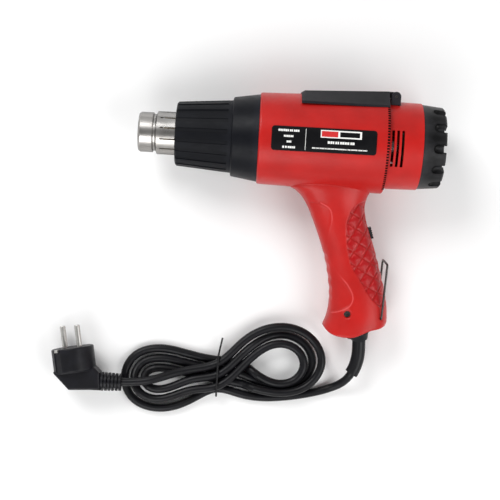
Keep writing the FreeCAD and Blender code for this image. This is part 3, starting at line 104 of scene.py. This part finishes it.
class Shader:
    """A small builder of node materials."""

    def __init__(self, name):
        self.material = bpy.data.materials.new(name)
        self.material.use_nodes = True
        self.tree = self.material.node_tree
        self.shader = self.tree.nodes["Principled BSDF"]
        self.coords = self.node("ShaderNodeTexCoord").outputs["Object"]

    def node(self, kind):
        return self.tree.nodes.new(kind)

    def link(self, source, target):
        self.tree.links.new(source, target)

    def noise(self, scale, detail=4.0, stretch=None):
        texture = self.node("ShaderNodeTexNoise")
        texture.inputs["Scale"].default_value = scale
        texture.inputs["Detail"].default_value = detail
        source = self.coords
        if stretch:
            mapping = self.node("ShaderNodeMapping")
            mapping.inputs["Scale"].default_value = stretch
            self.link(source, mapping.inputs["Vector"])
            source = mapping.outputs["Vector"]
        self.link(source, texture.inputs["Vector"])
        return texture.outputs["Fac"]

    def ramp(self, source, stops):
        ramp = self.node("ShaderNodeValToRGB")
        elements = ramp.color_ramp.elements
        while len(elements) < len(stops):
            elements.new(0.5)
        for element, (place, colour) in zip(elements, stops):
            element.position = place
            element.color = (*colour, 1.0)
        self.link(source, ramp.inputs["Fac"])
        return ramp.outputs["Color"]

    def spread(self, source, low, high):
        """Maps a texture's middle range to low..high."""
        spread = self.node("ShaderNodeMapRange")
        spread.inputs["From Min"].default_value = 0.3
        spread.inputs["From Max"].default_value = 0.7
        spread.inputs["To Min"].default_value = low
        spread.inputs["To Max"].default_value = high
        self.link(source, spread.inputs["Value"])
        return spread.outputs["Result"]

    def mix(self, factor, first, second):
        mix = self.node("ShaderNodeMix")
        mix.data_type = "RGBA"
        self.link(factor, mix.inputs["Factor"])
        self.link(first, mix.inputs[MIX_FIRST])
        if isinstance(second, tuple):
            mix.inputs[MIX_SECOND].default_value = (*second, 1.0)
        else:
            self.link(second, mix.inputs[MIX_SECOND])
        return mix.outputs[MIX_RESULT]

    def bump(self, source, strength, distance):
        bump = self.node("ShaderNodeBump")
        bump.inputs["Strength"].default_value = strength
        bump.inputs["Distance"].default_value = distance
        self.link(source, bump.inputs["Height"])
        self.link(bump.outputs["Normal"], self.shader.inputs["Normal"])

    def stored(self, name):
        """A value kept on the mesh."""
        node = self.node("ShaderNodeAttribute")
        node.attribute_name = name
        return node.outputs["Fac"]

    def facing(self, strength):
        """Grows from nothing, where the surface faces the eye, to strength where it turns away."""
        weight = self.node("ShaderNodeLayerWeight")
        weight.inputs["Blend"].default_value = 0.5
        facing = self.node("ShaderNodeMapRange")
        facing.inputs["From Min"].default_value = 0.12
        facing.inputs["From Max"].default_value = 0.8
        facing.inputs["To Max"].default_value = strength
        self.link(weight.outputs["Facing"], facing.inputs["Value"])
        return facing.outputs["Result"]

    def edge_wear(self, low=0.52, high=0.62):
        """Bright where the surface is convex: worn edges."""
        geometry = self.node("ShaderNodeNewGeometry")
        wear = self.node("ShaderNodeMapRange")
        wear.inputs["From Min"].default_value = low
        wear.inputs["From Max"].default_value = high
        self.link(geometry.outputs["Pointiness"], wear.inputs["Value"])
        return wear.outputs["Result"]


def shade(colour, factor):
    return tuple(min(1.0, channel * factor) for channel in colour)


def plastic(name, colour, rough, grain=2600.0, depth=0.25, worn=1.5, coat=0.0, shine=0.18, marks=()):
    """Moulded plastic: faint blotches, spark-eroded grain, worn edges, and colours for stored marks, such
    as painted shade and painted highlight.
    """
    s = Shader(name)
    s.shader.inputs["Specular IOR Level"].default_value = shine
    blotch = s.ramp(s.noise(45.0, 5.0), [(0.3, shade(colour, 0.9)), (0.7, shade(colour, 1.1))])
    wear = s.edge_wear()
    base = s.mix(wear, blotch, shade(colour, worn))
    for mark, mark_colour in marks:
        base = s.mix(s.stored(mark), base, mark_colour)
    s.link(base, s.shader.inputs["Base Color"])
    s.link(s.spread(s.noise(160.0, 6.0), rough - 0.05, rough + 0.06), s.shader.inputs["Roughness"])
    s.bump(s.noise(grain, 2.0), depth, PLASTIC_GRAIN)
    s.shader.inputs["Coat Weight"].default_value = coat
    s.shader.inputs["Coat Roughness"].default_value = 0.25
    return s.material


def metal(name, colour, rough, brushed=(1.0, 60.0, 60.0), depth=0.15, tint=None, turned_away_shade=0.0):
    """Drawn metal with fine lines, an optional heat tint, and painted shade on flanks that turn away from
    the eye.
    """
    s = Shader(name)
    s.shader.inputs["Metallic"].default_value = 1.0
    base = s.ramp(s.noise(60.0, 6.0), [(0.3, shade(colour, 0.88)), (0.7, shade(colour, 1.06))])
    if tint:
        base = s.mix(s.spread(s.noise(25.0, 3.0), 0.0, 0.55), base, tint)
    # painted shade: the colour darkens where the surface turns away from the eye
    if turned_away_shade:
        base = s.mix(s.facing(turned_away_shade), base, shade(colour, 0.22))
    s.link(base, s.shader.inputs["Base Color"])
    lines = s.noise(30.0, 4.0, brushed)
    s.link(s.spread(lines, rough - 0.06, rough + 0.1), s.shader.inputs["Roughness"])
    s.bump(lines, depth, METAL_LINES)
    return s.material


def rubber(name, colour, rough):
    """Soft sheath: low sheen with dust in the grain."""
    s = Shader(name)
    dust = s.ramp(s.noise(90.0, 8.0), [(0.42, shade(colour, 0.8)), (0.72, shade(colour, 1.5))])
    s.link(dust, s.shader.inputs["Base Color"])
    s.link(s.spread(s.noise(300.0, 4.0), rough - 0.06, rough + 0.08), s.shader.inputs["Roughness"])
    s.bump(s.noise(1500.0, 3.0), 0.2, RUBBER_GRAIN)
    s.shader.inputs["Specular IOR Level"].default_value = 0.2
    s.shader.inputs["Coat Weight"].default_value = 0.08
    s.shader.inputs["Coat Roughness"].default_value = 0.2
    return s.material


RED = (0.45, 0.011, 0.009)
PANEL_RED = (0.36, 0.003, 0.005)
# darker red in the grooves is painted shade
GROOVE_SHADE_RED = (0.32, 0.004, 0.003)
# lighter red laid on the raised line and on some pad rims is a painted highlight
PAINTED_HIGHLIGHT_RED = (0.72, 0.09, 0.09)
STEEL_LOOK = {"colour": (0.56, 0.55, 0.54), "rough": 0.27, "brushed": (1.0, 1.0, 1.0), "depth": 0.08}
RED_LOOK = {"colour": RED, "rough": 0.36, "depth": 0.12, "coat": 0.1, "shine": 0.22}
# marks of the shell's finish: the panel's own tone, painted shade in the grooves, and a painted highlight
RELIEF_MARKS = (("panel", PANEL_RED), ("groove", GROOVE_SHADE_RED), ("painted_highlight", PAINTED_HIGHLIGHT_RED))

# one material for each of the record's slots
MATERIALS = {
    "stainless": metal("stainless", **STEEL_LOOK, tint=(0.45, 0.41, 0.36), turned_away_shade=0.85),
    "guard_plastic": plastic("guard_plastic", (0.0045, 0.005, 0.007), 0.5, worn=2.0, shine=0.12),
    "collar_plastic": plastic("collar_plastic", (0.0045, 0.005, 0.0075), 0.4, depth=0.12, worn=2.0,
                              shine=0.13),
    "red_plastic": plastic("red_plastic", **RED_LOOK, worn=1.12),
    "black_plastic": plastic("black_plastic", (0.005, 0.005, 0.006), 0.45, worn=2.2),
    "dial_plastic": plastic("dial_plastic", (0.0055, 0.0055, 0.006), 0.36, worn=5.0, shine=0.16),
    "stand_plastic": plastic("stand_plastic", (0.009, 0.0085, 0.0105), 0.4, worn=2.2, shine=0.2),
    "switch_plastic": plastic("switch_plastic", (0.012, 0.012, 0.013), 0.35, worn=2.0),
    "steel": metal("steel", (0.5, 0.5, 0.51), 0.28),
    "screw_steel": metal("screw_steel", (0.075, 0.07, 0.068), 0.35, (30.0, 30.0, 30.0)),
    "soft_black": rubber("soft_black", (0.0035, 0.0035, 0.005), 0.4),
    "plug_rubber": rubber("plug_rubber", (0.005, 0.005, 0.0075), 0.46),
    "plated_brass": metal("plated_brass", (0.72, 0.71, 0.68), 0.32, turned_away_shade=0.8),
    "label_film": plastic("label_film", (0.002, 0.002, 0.003), 0.45, 900.0, 0.05, 1.2, 0.0, 0.15),
    "tie_wire": rubber("tie_wire", (0.012, 0.012, 0.013), 0.4),
    "mica": plastic("mica", (0.55, 0.46, 0.32), 0.6, 600.0, 0.4, 1.2),
    "resistance_wire": metal("resistance_wire", (0.3, 0.27, 0.24), 0.5),
    "aluminium": metal("aluminium", (0.7, 0.7, 0.72), 0.35),
    "copper": metal("copper", (0.72, 0.35, 0.2), 0.4),
    "magnet": metal("magnet", (0.1, 0.1, 0.1), 0.6),
    "sintered_bronze": metal("sintered_bronze", (0.5, 0.36, 0.18), 0.5),
    "board": plastic("board", (0.02, 0.14, 0.05), 0.4),
    "wire_skin": rubber("wire_skin", (0.07, 0.06, 0.05), 0.6),
}
# finishes of the pieces that are made here
SHELL_RED = plastic("shell_red", **RED_LOOK, worn=1.15, marks=RELIEF_MARKS)
# near-black finish of the vent blocks: painted shade of the openings
VENT_SHADE = plastic("vent_shade", (0.002, 0.001, 0.001), 0.7, shine=0.05)
WHITE_INK = plastic("white_ink", (0.8, 0.8, 0.78), 0.35, 1200.0, 0.05, 1.05)
RED_INK = plastic("red_ink", (0.55, 0.03, 0.03), 0.35, 1200.0, 0.05, 1.05)


def paint(piece, material):
    piece.data.materials.clear()
    piece.data.materials.append(material)


slot_of = {part["node"]: part["material_slot"] for part in record["subparts"]}
for name, piece in frame["nodes"].items():
    paint(piece, MATERIALS[slot_of[name]])
    piece.data.shade_smooth()

# ---------------------------------------------------------------- helpers for new pieces


def new_piece(name, vertices, faces, body, slot, material=None):
    mesh = bpy.data.meshes.new(name)
    mesh.from_pydata([tuple(v) for v in vertices], [], faces)
    mesh.validate()
    mesh.update()
    piece = bpy.data.objects.new(name, mesh)
    bpy.context.collection.objects.link(piece)
    paint(piece, material or MATERIALS[slot])
    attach(piece, body)
    return piece


def read_vertices(mesh):
    flat = np.empty(len(mesh.vertices) * 3)
    mesh.vertices.foreach_get("co", flat)
    return flat.reshape(-1, 3)


def write_vertices(mesh, points):
    mesh.vertices.foreach_set("co", points.ravel())
    mesh.update()


def read_normals(mesh):
    flat = np.empty(len(mesh.vertices) * 3)
    mesh.vertex_normals.foreach_get("vector", flat)
    return flat.reshape(-1, 3)


def read_edges(mesh):
    flat = np.empty(len(mesh.edges) * 2, dtype=int)
    mesh.edges.foreach_get("vertices", flat)
    return flat.reshape(-1, 2)


def relax(points, edges, weight, rounds):
    """Laplacian smoothing of the weighted points."""
    count = np.bincount(edges.ravel(), minlength=len(points)).reshape(-1, 1)
    for _ in range(rounds):
        total = np.zeros_like(points)
        for axis in range(3):
            total[:, axis] = np.bincount(edges[:, 0], points[edges[:, 1], axis], len(points))
            total[:, axis] += np.bincount(edges[:, 1], points[edges[:, 0], axis], len(points))
        mean = total / np.maximum(count, 1)
        points = points + (mean - points) * weight
    return points


def store(mesh, name, values):
    layer = mesh.attributes.new(name, "FLOAT", "POINT")
    layer.data.foreach_set("value", values.astype(np.float32))


def smoothstep(value, low, high):
    share = np.clip((value - low) / (high - low), 0.0, 1.0)
    return share * share * (3 - 2 * share)


# ---------------------------------------------------------------- red shells with their relief

VOXEL = 0.00065

# the body's cone, in the gun's frame, and how near a point must be to count as on it
BODY_FRONT = 101.5
BODY_REAR = 208.7
BODY_FRONT_RADIUS = 38.7
BODY_REAR_RADIUS = 41.5
CONE_NEAR = 0.55
CONE_END_MARGIN = 1.4
CONE_CLEAR = 0.4

# Smooth lines on the grip's flanks, in the gun's frame: (station, height).
# The first bounds the finger side, the second the diamond panel that runs out over the back.
FINGER_LINE = [(156.5, -51.2), (164.6, -56.0), (166.8, -65.6), (164.7, -76.0), (165.4, -89.0),
               (168.6, -101.0), (176.6, -111.8), (184.2, -120.3), (188.6, -129.4), (186.4, -137.0),
               (178.4, -142.0), (170.9, -144.8)]
PANEL_LINE = [(196.0, -47.0), (185.3, -53.2), (181.2, -62.0), (180.0, -71.0), (182.0, -88.0),
              (186.6, -103.5), (194.0, -114.5), (203.8, -128.8), (213.0, -137.0)]
LINE_SPLITS = 8
FAR = 1e9
GRIP_LEAN = math.radians(15.5)
GRIP_MIDDLE = (180.0, -90.0)

# diamond panel: heights over which it fades in and out, its diamonds, its grooves and its pads
PANEL_BOTTOM = (-138.5, -136.5)
PANEL_TOP = (-49.5, -47.0)
PANEL_EDGE = 0.5
PANEL_DEPTH = 0.7
DIAMOND_ANGLE = math.radians(44.0)
DIAMOND_PITCH = 9.2
DIAMOND_OFFSET = 0.25
GROOVE_DEPTH = 0.5
GROOVE_FLOOR = 0.25
GROOVE_HALF_WIDTH = 0.9
PAD_CROWN = 0.3
# pad rims that take a painted highlight: where it starts, where it ends, and its strength
RIM_START = (0.9, 1.3)
RIM_END = (1.5, 2.1)
RIM_HIGHLIGHT = 0.45

# finger side: a shallow step along a raised line, faint between its two ends
FINGER_DEPTH = 0.45
FINGER_SLOPE = 1.4
LINE_DEPTH = 0.3
LINE_OFFSET = 0.5
LINE_CREST = 0.1
LINE_HALF_WIDTH = 0.7
LINE_LOWEST = -146.0
LINE_HIGHEST = -50.0
LINE_UPPER_FADE = (-74.0, -62.0)
LINE_LOWER_FADE = (-118.0, -108.0)
LINE_FAINT = 0.2
# strength of the painted highlight laid along the raised line
LINE_HIGHLIGHT = 0.75

# finger stops across the back of the grip
RIDGE_PITCH = 9.5
RIDGE_PHASE = 96.0
RIDGE_DEPTH = 0.6
RIDGE_LOWER_FADE = (-136.0, -131.0)
RIDGE_UPPER_FADE = (-97.0, -92.0)
RIDGE_SIDE_FADE = (7.0, 10.0)

# stations of the grip's middle line at heights below the axis
GRIP_HEIGHTS = [-165.0, -128.0, -95.0, -61.0, -40.0]
GRIP_STATIONS = [193.0, 194.0, 185.5, 173.4, 166.5]
GRIP_TOP = -40.0
RELAX_WEIGHT = 0.5
RELAX_ROUNDS = 14
SEAM_HALF_WIDTH = 1.2
FLANK_WEIGHT = 1.5
# how far a surface must face the flank to take the relief, on the grip's front and on its back
FRONT_FACING = (0.4, 0.75)
BACK_FACING = (0.1, 0.4)


def smooth_line(points):
    """Catmull-Rom line through points."""
    spots = [np.array(points[0])] + [np.array(point) for point in points] + [np.array(points[-1])]
    line = []
    for first, start, end, last in zip(spots, spots[1:], spots[2:], spots[3:]):
        for step in range(LINE_SPLITS):
            u = step / LINE_SPLITS
            bend = (2 * first - 5 * start + 4 * end - last) * u * u
            twist = (3 * start - first - 3 * end + last) * u ** 3
            line.append(0.5 * (2 * start + (end - first) * u + bend + twist))
    line.append(spots[-1])
    return np.array(line)


def line_distance(line, x, y):
    """Distance from each spot to a line, negative on its left."""
    nearest = np.full(x.shape, FAR)
    for start, end in zip(line, line[1:]):
        run = end - start
        over_x = x - start[0]
        over_y = y - start[1]
        share = np.clip((over_x * run[0] + over_y * run[1]) / (run @ run), 0.0, 1.0)
        nearest = np.minimum(nearest, np.hypot(over_x - share * run[0], over_y - share * run[1]))
    edge = np.interp(y, line[::-1, 1], line[::-1, 0])
    return np.where(x < edge, -nearest, nearest)


def diamond_gap(x, y):
    """Distance of each spot from the nearest groove's middle line."""
    over_x = x - GRIP_MIDDLE[0]
    over_y = y - GRIP_MIDDLE[1]
    along = over_x * math.sin(GRIP_LEAN) - over_y * math.cos(GRIP_LEAN)
    across = over_x * math.cos(GRIP_LEAN) + over_y * math.sin(GRIP_LEAN)
    gap = np.full(x.shape, FAR)
    for sign in (-1, 1):
        run = along * math.cos(DIAMOND_ANGLE) + sign * across * math.sin(DIAMOND_ANGLE)
        share = (run / DIAMOND_PITCH + DIAMOND_OFFSET + 0.5) % 1.0 - 0.5
        gap = np.minimum(gap, np.abs(share) * DIAMOND_PITCH)
    return gap


def panel_relief(x, y):
    """Depth, and shares of panel, groove and painted highlight on pad rims, of the diamond panel."""
    panel = smoothstep(line_distance(smooth_line(PANEL_LINE), x, y), -PANEL_EDGE, PANEL_EDGE)
    panel *= smoothstep(y, *PANEL_BOTTOM) * (1 - smoothstep(y, *PANEL_TOP))
    gap = diamond_gap(x, y)
    groove = panel * (1 - smoothstep(gap, GROOVE_FLOOR, GROOVE_HALF_WIDTH))
    pad = panel * smoothstep(gap, GROOVE_HALF_WIDTH, DIAMOND_PITCH / 2)
    rim = panel * smoothstep(gap, *RIM_START) * (1 - smoothstep(gap, *RIM_END))
    # uneven painted highlight: two slow waves across the grip pick the pads whose rims take it
    highlight_patch = np.sin(x * 0.61 + y * 0.23) * np.sin(y * 0.37 - x * 0.19)
    press = panel * PANEL_DEPTH + groove * GROOVE_DEPTH - pad * PAD_CROWN
    return press, panel, groove, RIM_HIGHLIGHT * rim * smoothstep(highlight_patch, 0.2, 0.6)


def finger_relief(x, y):
    """Depth and painted-highlight share of the finger side's step and raised line."""
    from_line = line_distance(smooth_line(FINGER_LINE), x, y)
    inside = (y > FINGER_LINE[-1][1]) & (y < FINGER_LINE[0][1])
    finger = (1 - smoothstep(from_line, -FINGER_SLOPE, 0.0)) * inside
    ends = np.maximum(smoothstep(y, *LINE_UPPER_FADE), 1 - smoothstep(y, *LINE_LOWER_FADE))
    strength = LINE_FAINT + (1 - LINE_FAINT) * ends
    line = (1 - smoothstep(np.abs(from_line - LINE_OFFSET), LINE_CREST, LINE_HALF_WIDTH)) * strength
    line *= (y > LINE_LOWEST) & (y < LINE_HIGHEST)
    press = finger * FINGER_DEPTH * strength - line * LINE_DEPTH
    return press, LINE_HIGHLIGHT * line * strength


def grip_relief(x, y):
    """Depth pressed into the flank in millimetres; shares of panel, groove and painted highlight."""
    panel_press, panel, groove, rim_highlights = panel_relief(x, y)
    finger_press, line_highlight = finger_relief(x, y)
    return panel_press + finger_press, panel, groove, np.maximum(line_highlight, rim_highlights)


def back_ridges(y, z):
    """Shallow finger stops across the back of the grip."""
    wave = 0.5 + 0.5 * np.cos((y + RIDGE_PHASE) / RIDGE_PITCH * 2 * math.pi)
    reach = smoothstep(y, *RIDGE_LOWER_FADE) * (1 - smoothstep(y, *RIDGE_UPPER_FADE))
    return RIDGE_DEPTH * wave * reach * (1 - smoothstep(np.abs(z), *RIDGE_SIDE_FADE))


def body_radius(x):
    share = (x - BODY_FRONT) / (BODY_REAR - BODY_FRONT)
    return BODY_FRONT_RADIUS + share * (BODY_REAR_RADIUS - BODY_FRONT_RADIUS)


def grip_centre(heights):
    """Station of the grip's middle line at a height below the axis."""
    return np.interp(heights, GRIP_HEIGHTS, GRIP_STATIONS)


def even_mesh(node_name):
    """A CAD node's mesh with its faces made small and even."""
    working = bpy.data.objects.new(node_name + "_work", frame["nodes"][node_name].data.copy())
    bpy.context.collection.objects.link(working)
    remesh = working.modifiers.new("even", "REMESH")
    remesh.mode = "VOXEL"
    remesh.voxel_size = VOXEL
    bpy.context.view_layer.update()
    evaluated = working.evaluated_get(bpy.context.evaluated_depsgraph_get())
    mesh = bpy.data.meshes.new_from_object(evaluated)
    bpy.data.objects.remove(working)
    return mesh


def outside_of_grip(points, normals):
    """Which points lie on the grip's outer surface."""
    x, y, z = points.T
    outward = (x - grip_centre(y)) * normals[:, 0] + z * normals[:, 2] * FLANK_WEIGHT
    return (y < GRIP_TOP) & (outward > 0) & (np.hypot(y, z) > body_radius(x) + CONE_CLEAR)


def back_to_cone(points):
    """Factor that brings each point near the body's flank back to its true radius."""
    x, y, z = points.T
    radius = np.hypot(y, z)
    cone = body_radius(x)
    between_ends = (x > BODY_FRONT + CONE_END_MARGIN) & (x < BODY_REAR - CONE_END_MARGIN)
    near = (np.abs(radius - cone) < CONE_NEAR) & between_ends
    return np.where(near, cone / np.maximum(radius, 1e-6), 1.0)


def detailed_shell(node_name):
    """Skin that stands for a red shell: the same form, smoothed, with the grip's relief pressed in."""
    mesh = even_mesh(node_name)
    points = to_gun(read_vertices(mesh))
    normals = read_normals(mesh) @ TO_GUN.T
    on_grip = outside_of_grip(points, normals)
    scale = back_to_cone(points)
    off_seam = np.abs(points[:, 2]) > SEAM_HALF_WIDTH
    weight = np.where(on_grip & off_seam, RELAX_WEIGHT, 0.0).reshape(-1, 1)
    points = relax(points, read_edges(mesh), weight, RELAX_ROUNDS)
    points[:, 1] *= scale
    points[:, 2] *= scale
    x, y, z = points.T
    press, panel, groove, painted_highlight = grip_relief(x, y)
    back = x > grip_centre(y)
    low, high = (np.where(back, *limits) for limits in zip(BACK_FACING, FRONT_FACING))
    flank = smoothstep(np.abs(normals[:, 2]), low, high) * on_grip
    press = press * flank + back_ridges(y, z) * on_grip
    write_vertices(mesh, from_gun(points - normals * press.reshape(-1, 1)))
    # colours kept on the skin: the panel's own tone, painted shade in the grooves, and a painted
    # highlight on the raised line and pad rims
    store(mesh, "panel", panel * flank)
    store(mesh, "groove", groove * flank)
    store(mesh, "painted_highlight", painted_highlight * flank)
    mesh.shade_smooth()
    piece = bpy.data.objects.new(node_name + "_skin", mesh)
    bpy.context.collection.objects.link(piece)
    paint(piece, SHELL_RED)
    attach(piece, "gun")
    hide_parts(node_name)


for shell in ("left_shell", "right_shell"):
    detailed_shell(shell)

# ---------------------------------------------------------------- vent row on the body's rear edge, dark blocks of painted shade

VENT_PITCH = 2.35
VENT_HEIGHT = 1.5
VENT_DEPTH = 1.1
VENT_STATION = (206.6, 208.55)
VENT_ANGLES = (math.radians(-62.0), math.radians(60.0))
VENT_PROUD = 0.05
# faces of a block from its front four corners, 0 to 3, and its rear four, 4 to 7
BLOCK_FACES = [(0, 1, 2, 3), (7, 6, 5, 4), (0, 4, 5, 1), (1, 5, 6, 2), (2, 6, 7, 3), (3, 7, 4, 0)]


def vent_row(name, side):
    """Painted shade of openings in a row round the body's rear edge, each a small dark block sunk in the
    shell.
    """
    vertices, faces = [], []
    first, last = VENT_ANGLES
    count = int((last - first) * BODY_REAR_RADIUS / VENT_PITCH)
    half = VENT_HEIGHT / 2 / BODY_REAR_RADIUS
    for number in range(count + 1):
        middle = first + (last - first) * number / count
        start = len(vertices)
        for x in VENT_STATION:
            radius = body_radius(x)
            corners = ((-half, -VENT_DEPTH), (-half, VENT_PROUD), (half, VENT_PROUD), (half, -VENT_DEPTH))
            for angle, lift in corners:
                turn = middle + angle
                out = radius + lift
                vertices.append((x, out * math.sin(turn), side * out * math.cos(turn)))
        for quad in BLOCK_FACES:
            ordered = quad if side < 0 else tuple(reversed(quad))
            faces.append(tuple(start + index for index in ordered))
    return new_piece(name, from_gun(np.array(vertices)), faces, "gun", "black_plastic", VENT_SHADE)


for vent_name, vent_side in (("vent_row_left", 1), ("vent_row_right", -1)):
    vent_row(vent_name, vent_side)

# ---------------------------------------------------------------- rating label graphics

# heights of the ink over the body's cone, and the sizes of its mesh's faces
INK_TOP = 0.40
INK_UNDERSIDE = 0.36
BADGE_LIFT = 0.05
INK_STEP_ALONG = 2.0
INK_STEP_UP = 0.6
# lengths of the blocks and of the gaps between them, as shares of the row's height
BLOCK_LENGTHS = (0.75, 1.3)
BLOCK_SHARE = 0.75
BLOCK_GAPS = (0.3, 0.3, 0.45, 0.9)
GAP_SHARE = 0.5
SHORTEST_BLOCK = 0.6
# name, middle station, height, half length and block height of each row of blocks
LABEL_ROWS = [
    ("rating_a", 126.0, 8.6, 8.6, 1.7),
    ("rating_b", 126.2, 4.0, 4.2, 1.6),
    ("rating_c", 126.4, -0.5, 1.9, 1.6),
    ("rating_d", 126.6, -5.0, 5.4, 1.7),
    ("title", 169.0, 0.5, 11.0, 2.0),
    ("foot", 168.0, -4.6, 22.5, 1.0),
]


def cone_height(x, y, lift):
    """Height of the body's flank over the gun's mid-plane at a station and height, plus a lift."""
    return np.sqrt((body_radius(x) + lift) ** 2 - y ** 2)


def wrapped_strip(name, x_low, x_high, y_low, y_high, material):
    """Thin printed patch that follows the label's curve."""
    columns = max(2, int((x_high - x_low) / INK_STEP_ALONG))
    rows = max(2, int((y_high - y_low) / INK_STEP_UP))
    grid_x, grid_y = np.meshgrid(np.linspace(x_low, x_high, columns), np.linspace(y_low, y_high, rows))
    x = grid_x.ravel()
    y = grid_y.ravel()
    top = np.stack([x, y, cone_height(x, y, INK_TOP)], 1)
    low = np.stack([x, y, cone_height(x, y, INK_UNDERSIDE)], 1)
    count = rows * columns
    faces = []
    for row in range(rows - 1):
        for column in range(columns - 1):
            corner = row * columns + column
            quad = (corner, corner + 1, corner + columns + 1, corner + columns)
            faces.append(quad)
            faces.append(tuple(index + count for index in reversed(quad)))
    rim = list(range(columns)) + [row * columns + columns - 1 for row in range(1, rows)]
    rim += [(rows - 1) * columns + column for column in range(columns - 2, -1, -1)]
    rim += [row * columns for row in range(rows - 2, 0, -1)]
    for first, second in zip(rim, rim[1:] + rim[:1]):
        faces.append((second, first, first + count, second + count))
    return new_piece(name, from_gun(np.vstack([top, low])), faces, "gun", "label_film", material)


def block_row(dice, name, middle, height, half, tall):
    """Plain blocks of uneven length in a row, where a label would hold a line of print."""
    end = middle + half
    place = middle - half
    number = 0
    while place < end - SHORTEST_BLOCK:
        width = min(dice.uniform(*BLOCK_LENGTHS) * tall * BLOCK_SHARE, end - place)
        wrapped_strip("label_%s_%02d" % (name, number), place, place + width, height - tall / 2,
                      height + tall / 2, WHITE_INK)
        place += width + dice.choice(BLOCK_GAPS) * tall * GAP_SHARE
        number += 1


def badge_field(name, x_low, x_high, y_low, y_high, ink):
    """Patch that lies a little over the badge's white ground."""
    piece = wrapped_strip(name, x_low, x_high, y_low, y_high, ink)
    points = to_gun(read_vertices(piece.data))
    points[:, 2] += BADGE_LIFT
    write_vertices(piece.data, from_gun(points))


def label_graphics():
    """Generic marks: rows of plain blocks, a divider and a two-tone badge, no lettering."""
    dice = random.Random(7)
    for row in LABEL_ROWS:
        block_row(dice, *row)
    wrapped_strip("label_divider", 139.7, 140.05, -6.6, 10.6, WHITE_INK)
    wrapped_strip("label_badge", 152.0, 185.5, 4.2, 10.4, WHITE_INK)
    badge_field("label_badge_red", 152.8, 166.2, 5.0, 9.6, RED_INK)
    badge_field("label_badge_dark", 167.8, 184.0, 5.3, 9.3, MATERIALS["label_film"])


label_graphics()

# ---------------------------------------------------------------- floor, light and camera

CAMERA_DISTANCE = 0.937
CAMERA_SPOT = Vector((0.0996, -0.0955, 0.0))
CAMERA_TURN = math.radians(3.2)
LENS = 79.2
FLOOR_HALF = 6.0
SUBJECT = (0.1, -0.08, 0.0)
WORLD_STRENGTH = 0.75
# brightness of the room between the horizon, at 0, and overhead, at 1
ROOM_LEVELS = ((0.3, 1.0), (0.75, 0.5))
HORIZON_LEVEL = 0.7
OVERHEAD_LEVEL = 0.16
# name, place, diameter and power of each lamp
LAMPS = (
    ("key", (-0.55, 0.75, 1.0), 0.8, 11.5),
    ("fill", (0.95, -0.55, 0.95), 0.9, 7.5),
    ("front", (-0.2, -1.0, 0.9), 0.9, 7.0),
)


def make_floor():
    low = cad_bounds[0][2]
    half = FLOOR_HALF
    mesh = bpy.data.meshes.new("floor")
    corners = [(-half, -half, low), (half, -half, low), (half, half, low), (-half, half, low)]
    mesh.from_pydata(corners, [], [(0, 1, 2, 3)])
    floor = bpy.data.objects.new("floor", mesh)
    bpy.context.collection.objects.link(floor)
    s = Shader("floor_white")
    s.link(s.ramp(s.noise(3.0), [(0.3, (0.9, 0.9, 0.9)), (0.7, (0.93, 0.93, 0.93))]),
           s.shader.inputs["Base Color"])
    s.shader.inputs["Roughness"].default_value = 0.9
    paint(floor, s.material)


def area_light(name, place, size, energy):
    light = bpy.data.lights.new(name, "AREA")
    light.shape = "DISK"
    light.size = size
    light.energy = energy
    lamp = bpy.data.objects.new(name, light)
    lamp.location = place
    lamp.rotation_euler = (Vector(SUBJECT) - Vector(place)).to_track_quat("-Z", "Y").to_euler()
    bpy.context.collection.objects.link(lamp)


def grey(level):
    return (level, level, level, 1.0)


def make_lights():
    """White room, dimmer overhead where the camera hangs, with three large soft lamps."""
    world = bpy.data.worlds.new("studio")
    bpy.context.scene.world = world
    world.use_nodes = True
    tree = world.node_tree
    coords = tree.nodes.new("ShaderNodeTexCoord")
    parts = tree.nodes.new("ShaderNodeSeparateXYZ")
    ramp = tree.nodes.new("ShaderNodeValToRGB")
    tree.links.new(coords.outputs["Generated"], parts.inputs["Vector"])
    tree.links.new(parts.outputs["Z"], ramp.inputs["Fac"])
    for place, level in ROOM_LEVELS:
        ramp.color_ramp.elements.new(place).color = grey(level)
    ramp.color_ramp.elements[0].color = grey(HORIZON_LEVEL)
    ramp.color_ramp.elements[-1].color = grey(OVERHEAD_LEVEL)
    background = tree.nodes["Background"]
    tree.links.new(ramp.outputs["Color"], background.inputs["Color"])
    background.inputs["Strength"].default_value = WORLD_STRENGTH
    for lamp in LAMPS:
        area_light(*lamp)


def make_camera():
    camera = bpy.data.cameras.new("camera")
    camera.lens = LENS
    camera.sensor_width = 36.0
    camera.clip_start = 0.01
    camera.clip_end = 50.0
    view = bpy.data.objects.new("camera", camera)
    view.location = CAMERA_SPOT + Vector((0.0, 0.0, CAMERA_DISTANCE))
    view.rotation_euler = (0.0, 0.0, CAMERA_TURN)
    bpy.context.collection.objects.link(view)
    bpy.context.scene.camera = view


bpy.context.scene.view_settings.view_transform = "Standard"
make_floor()
make_lights()
make_camera()
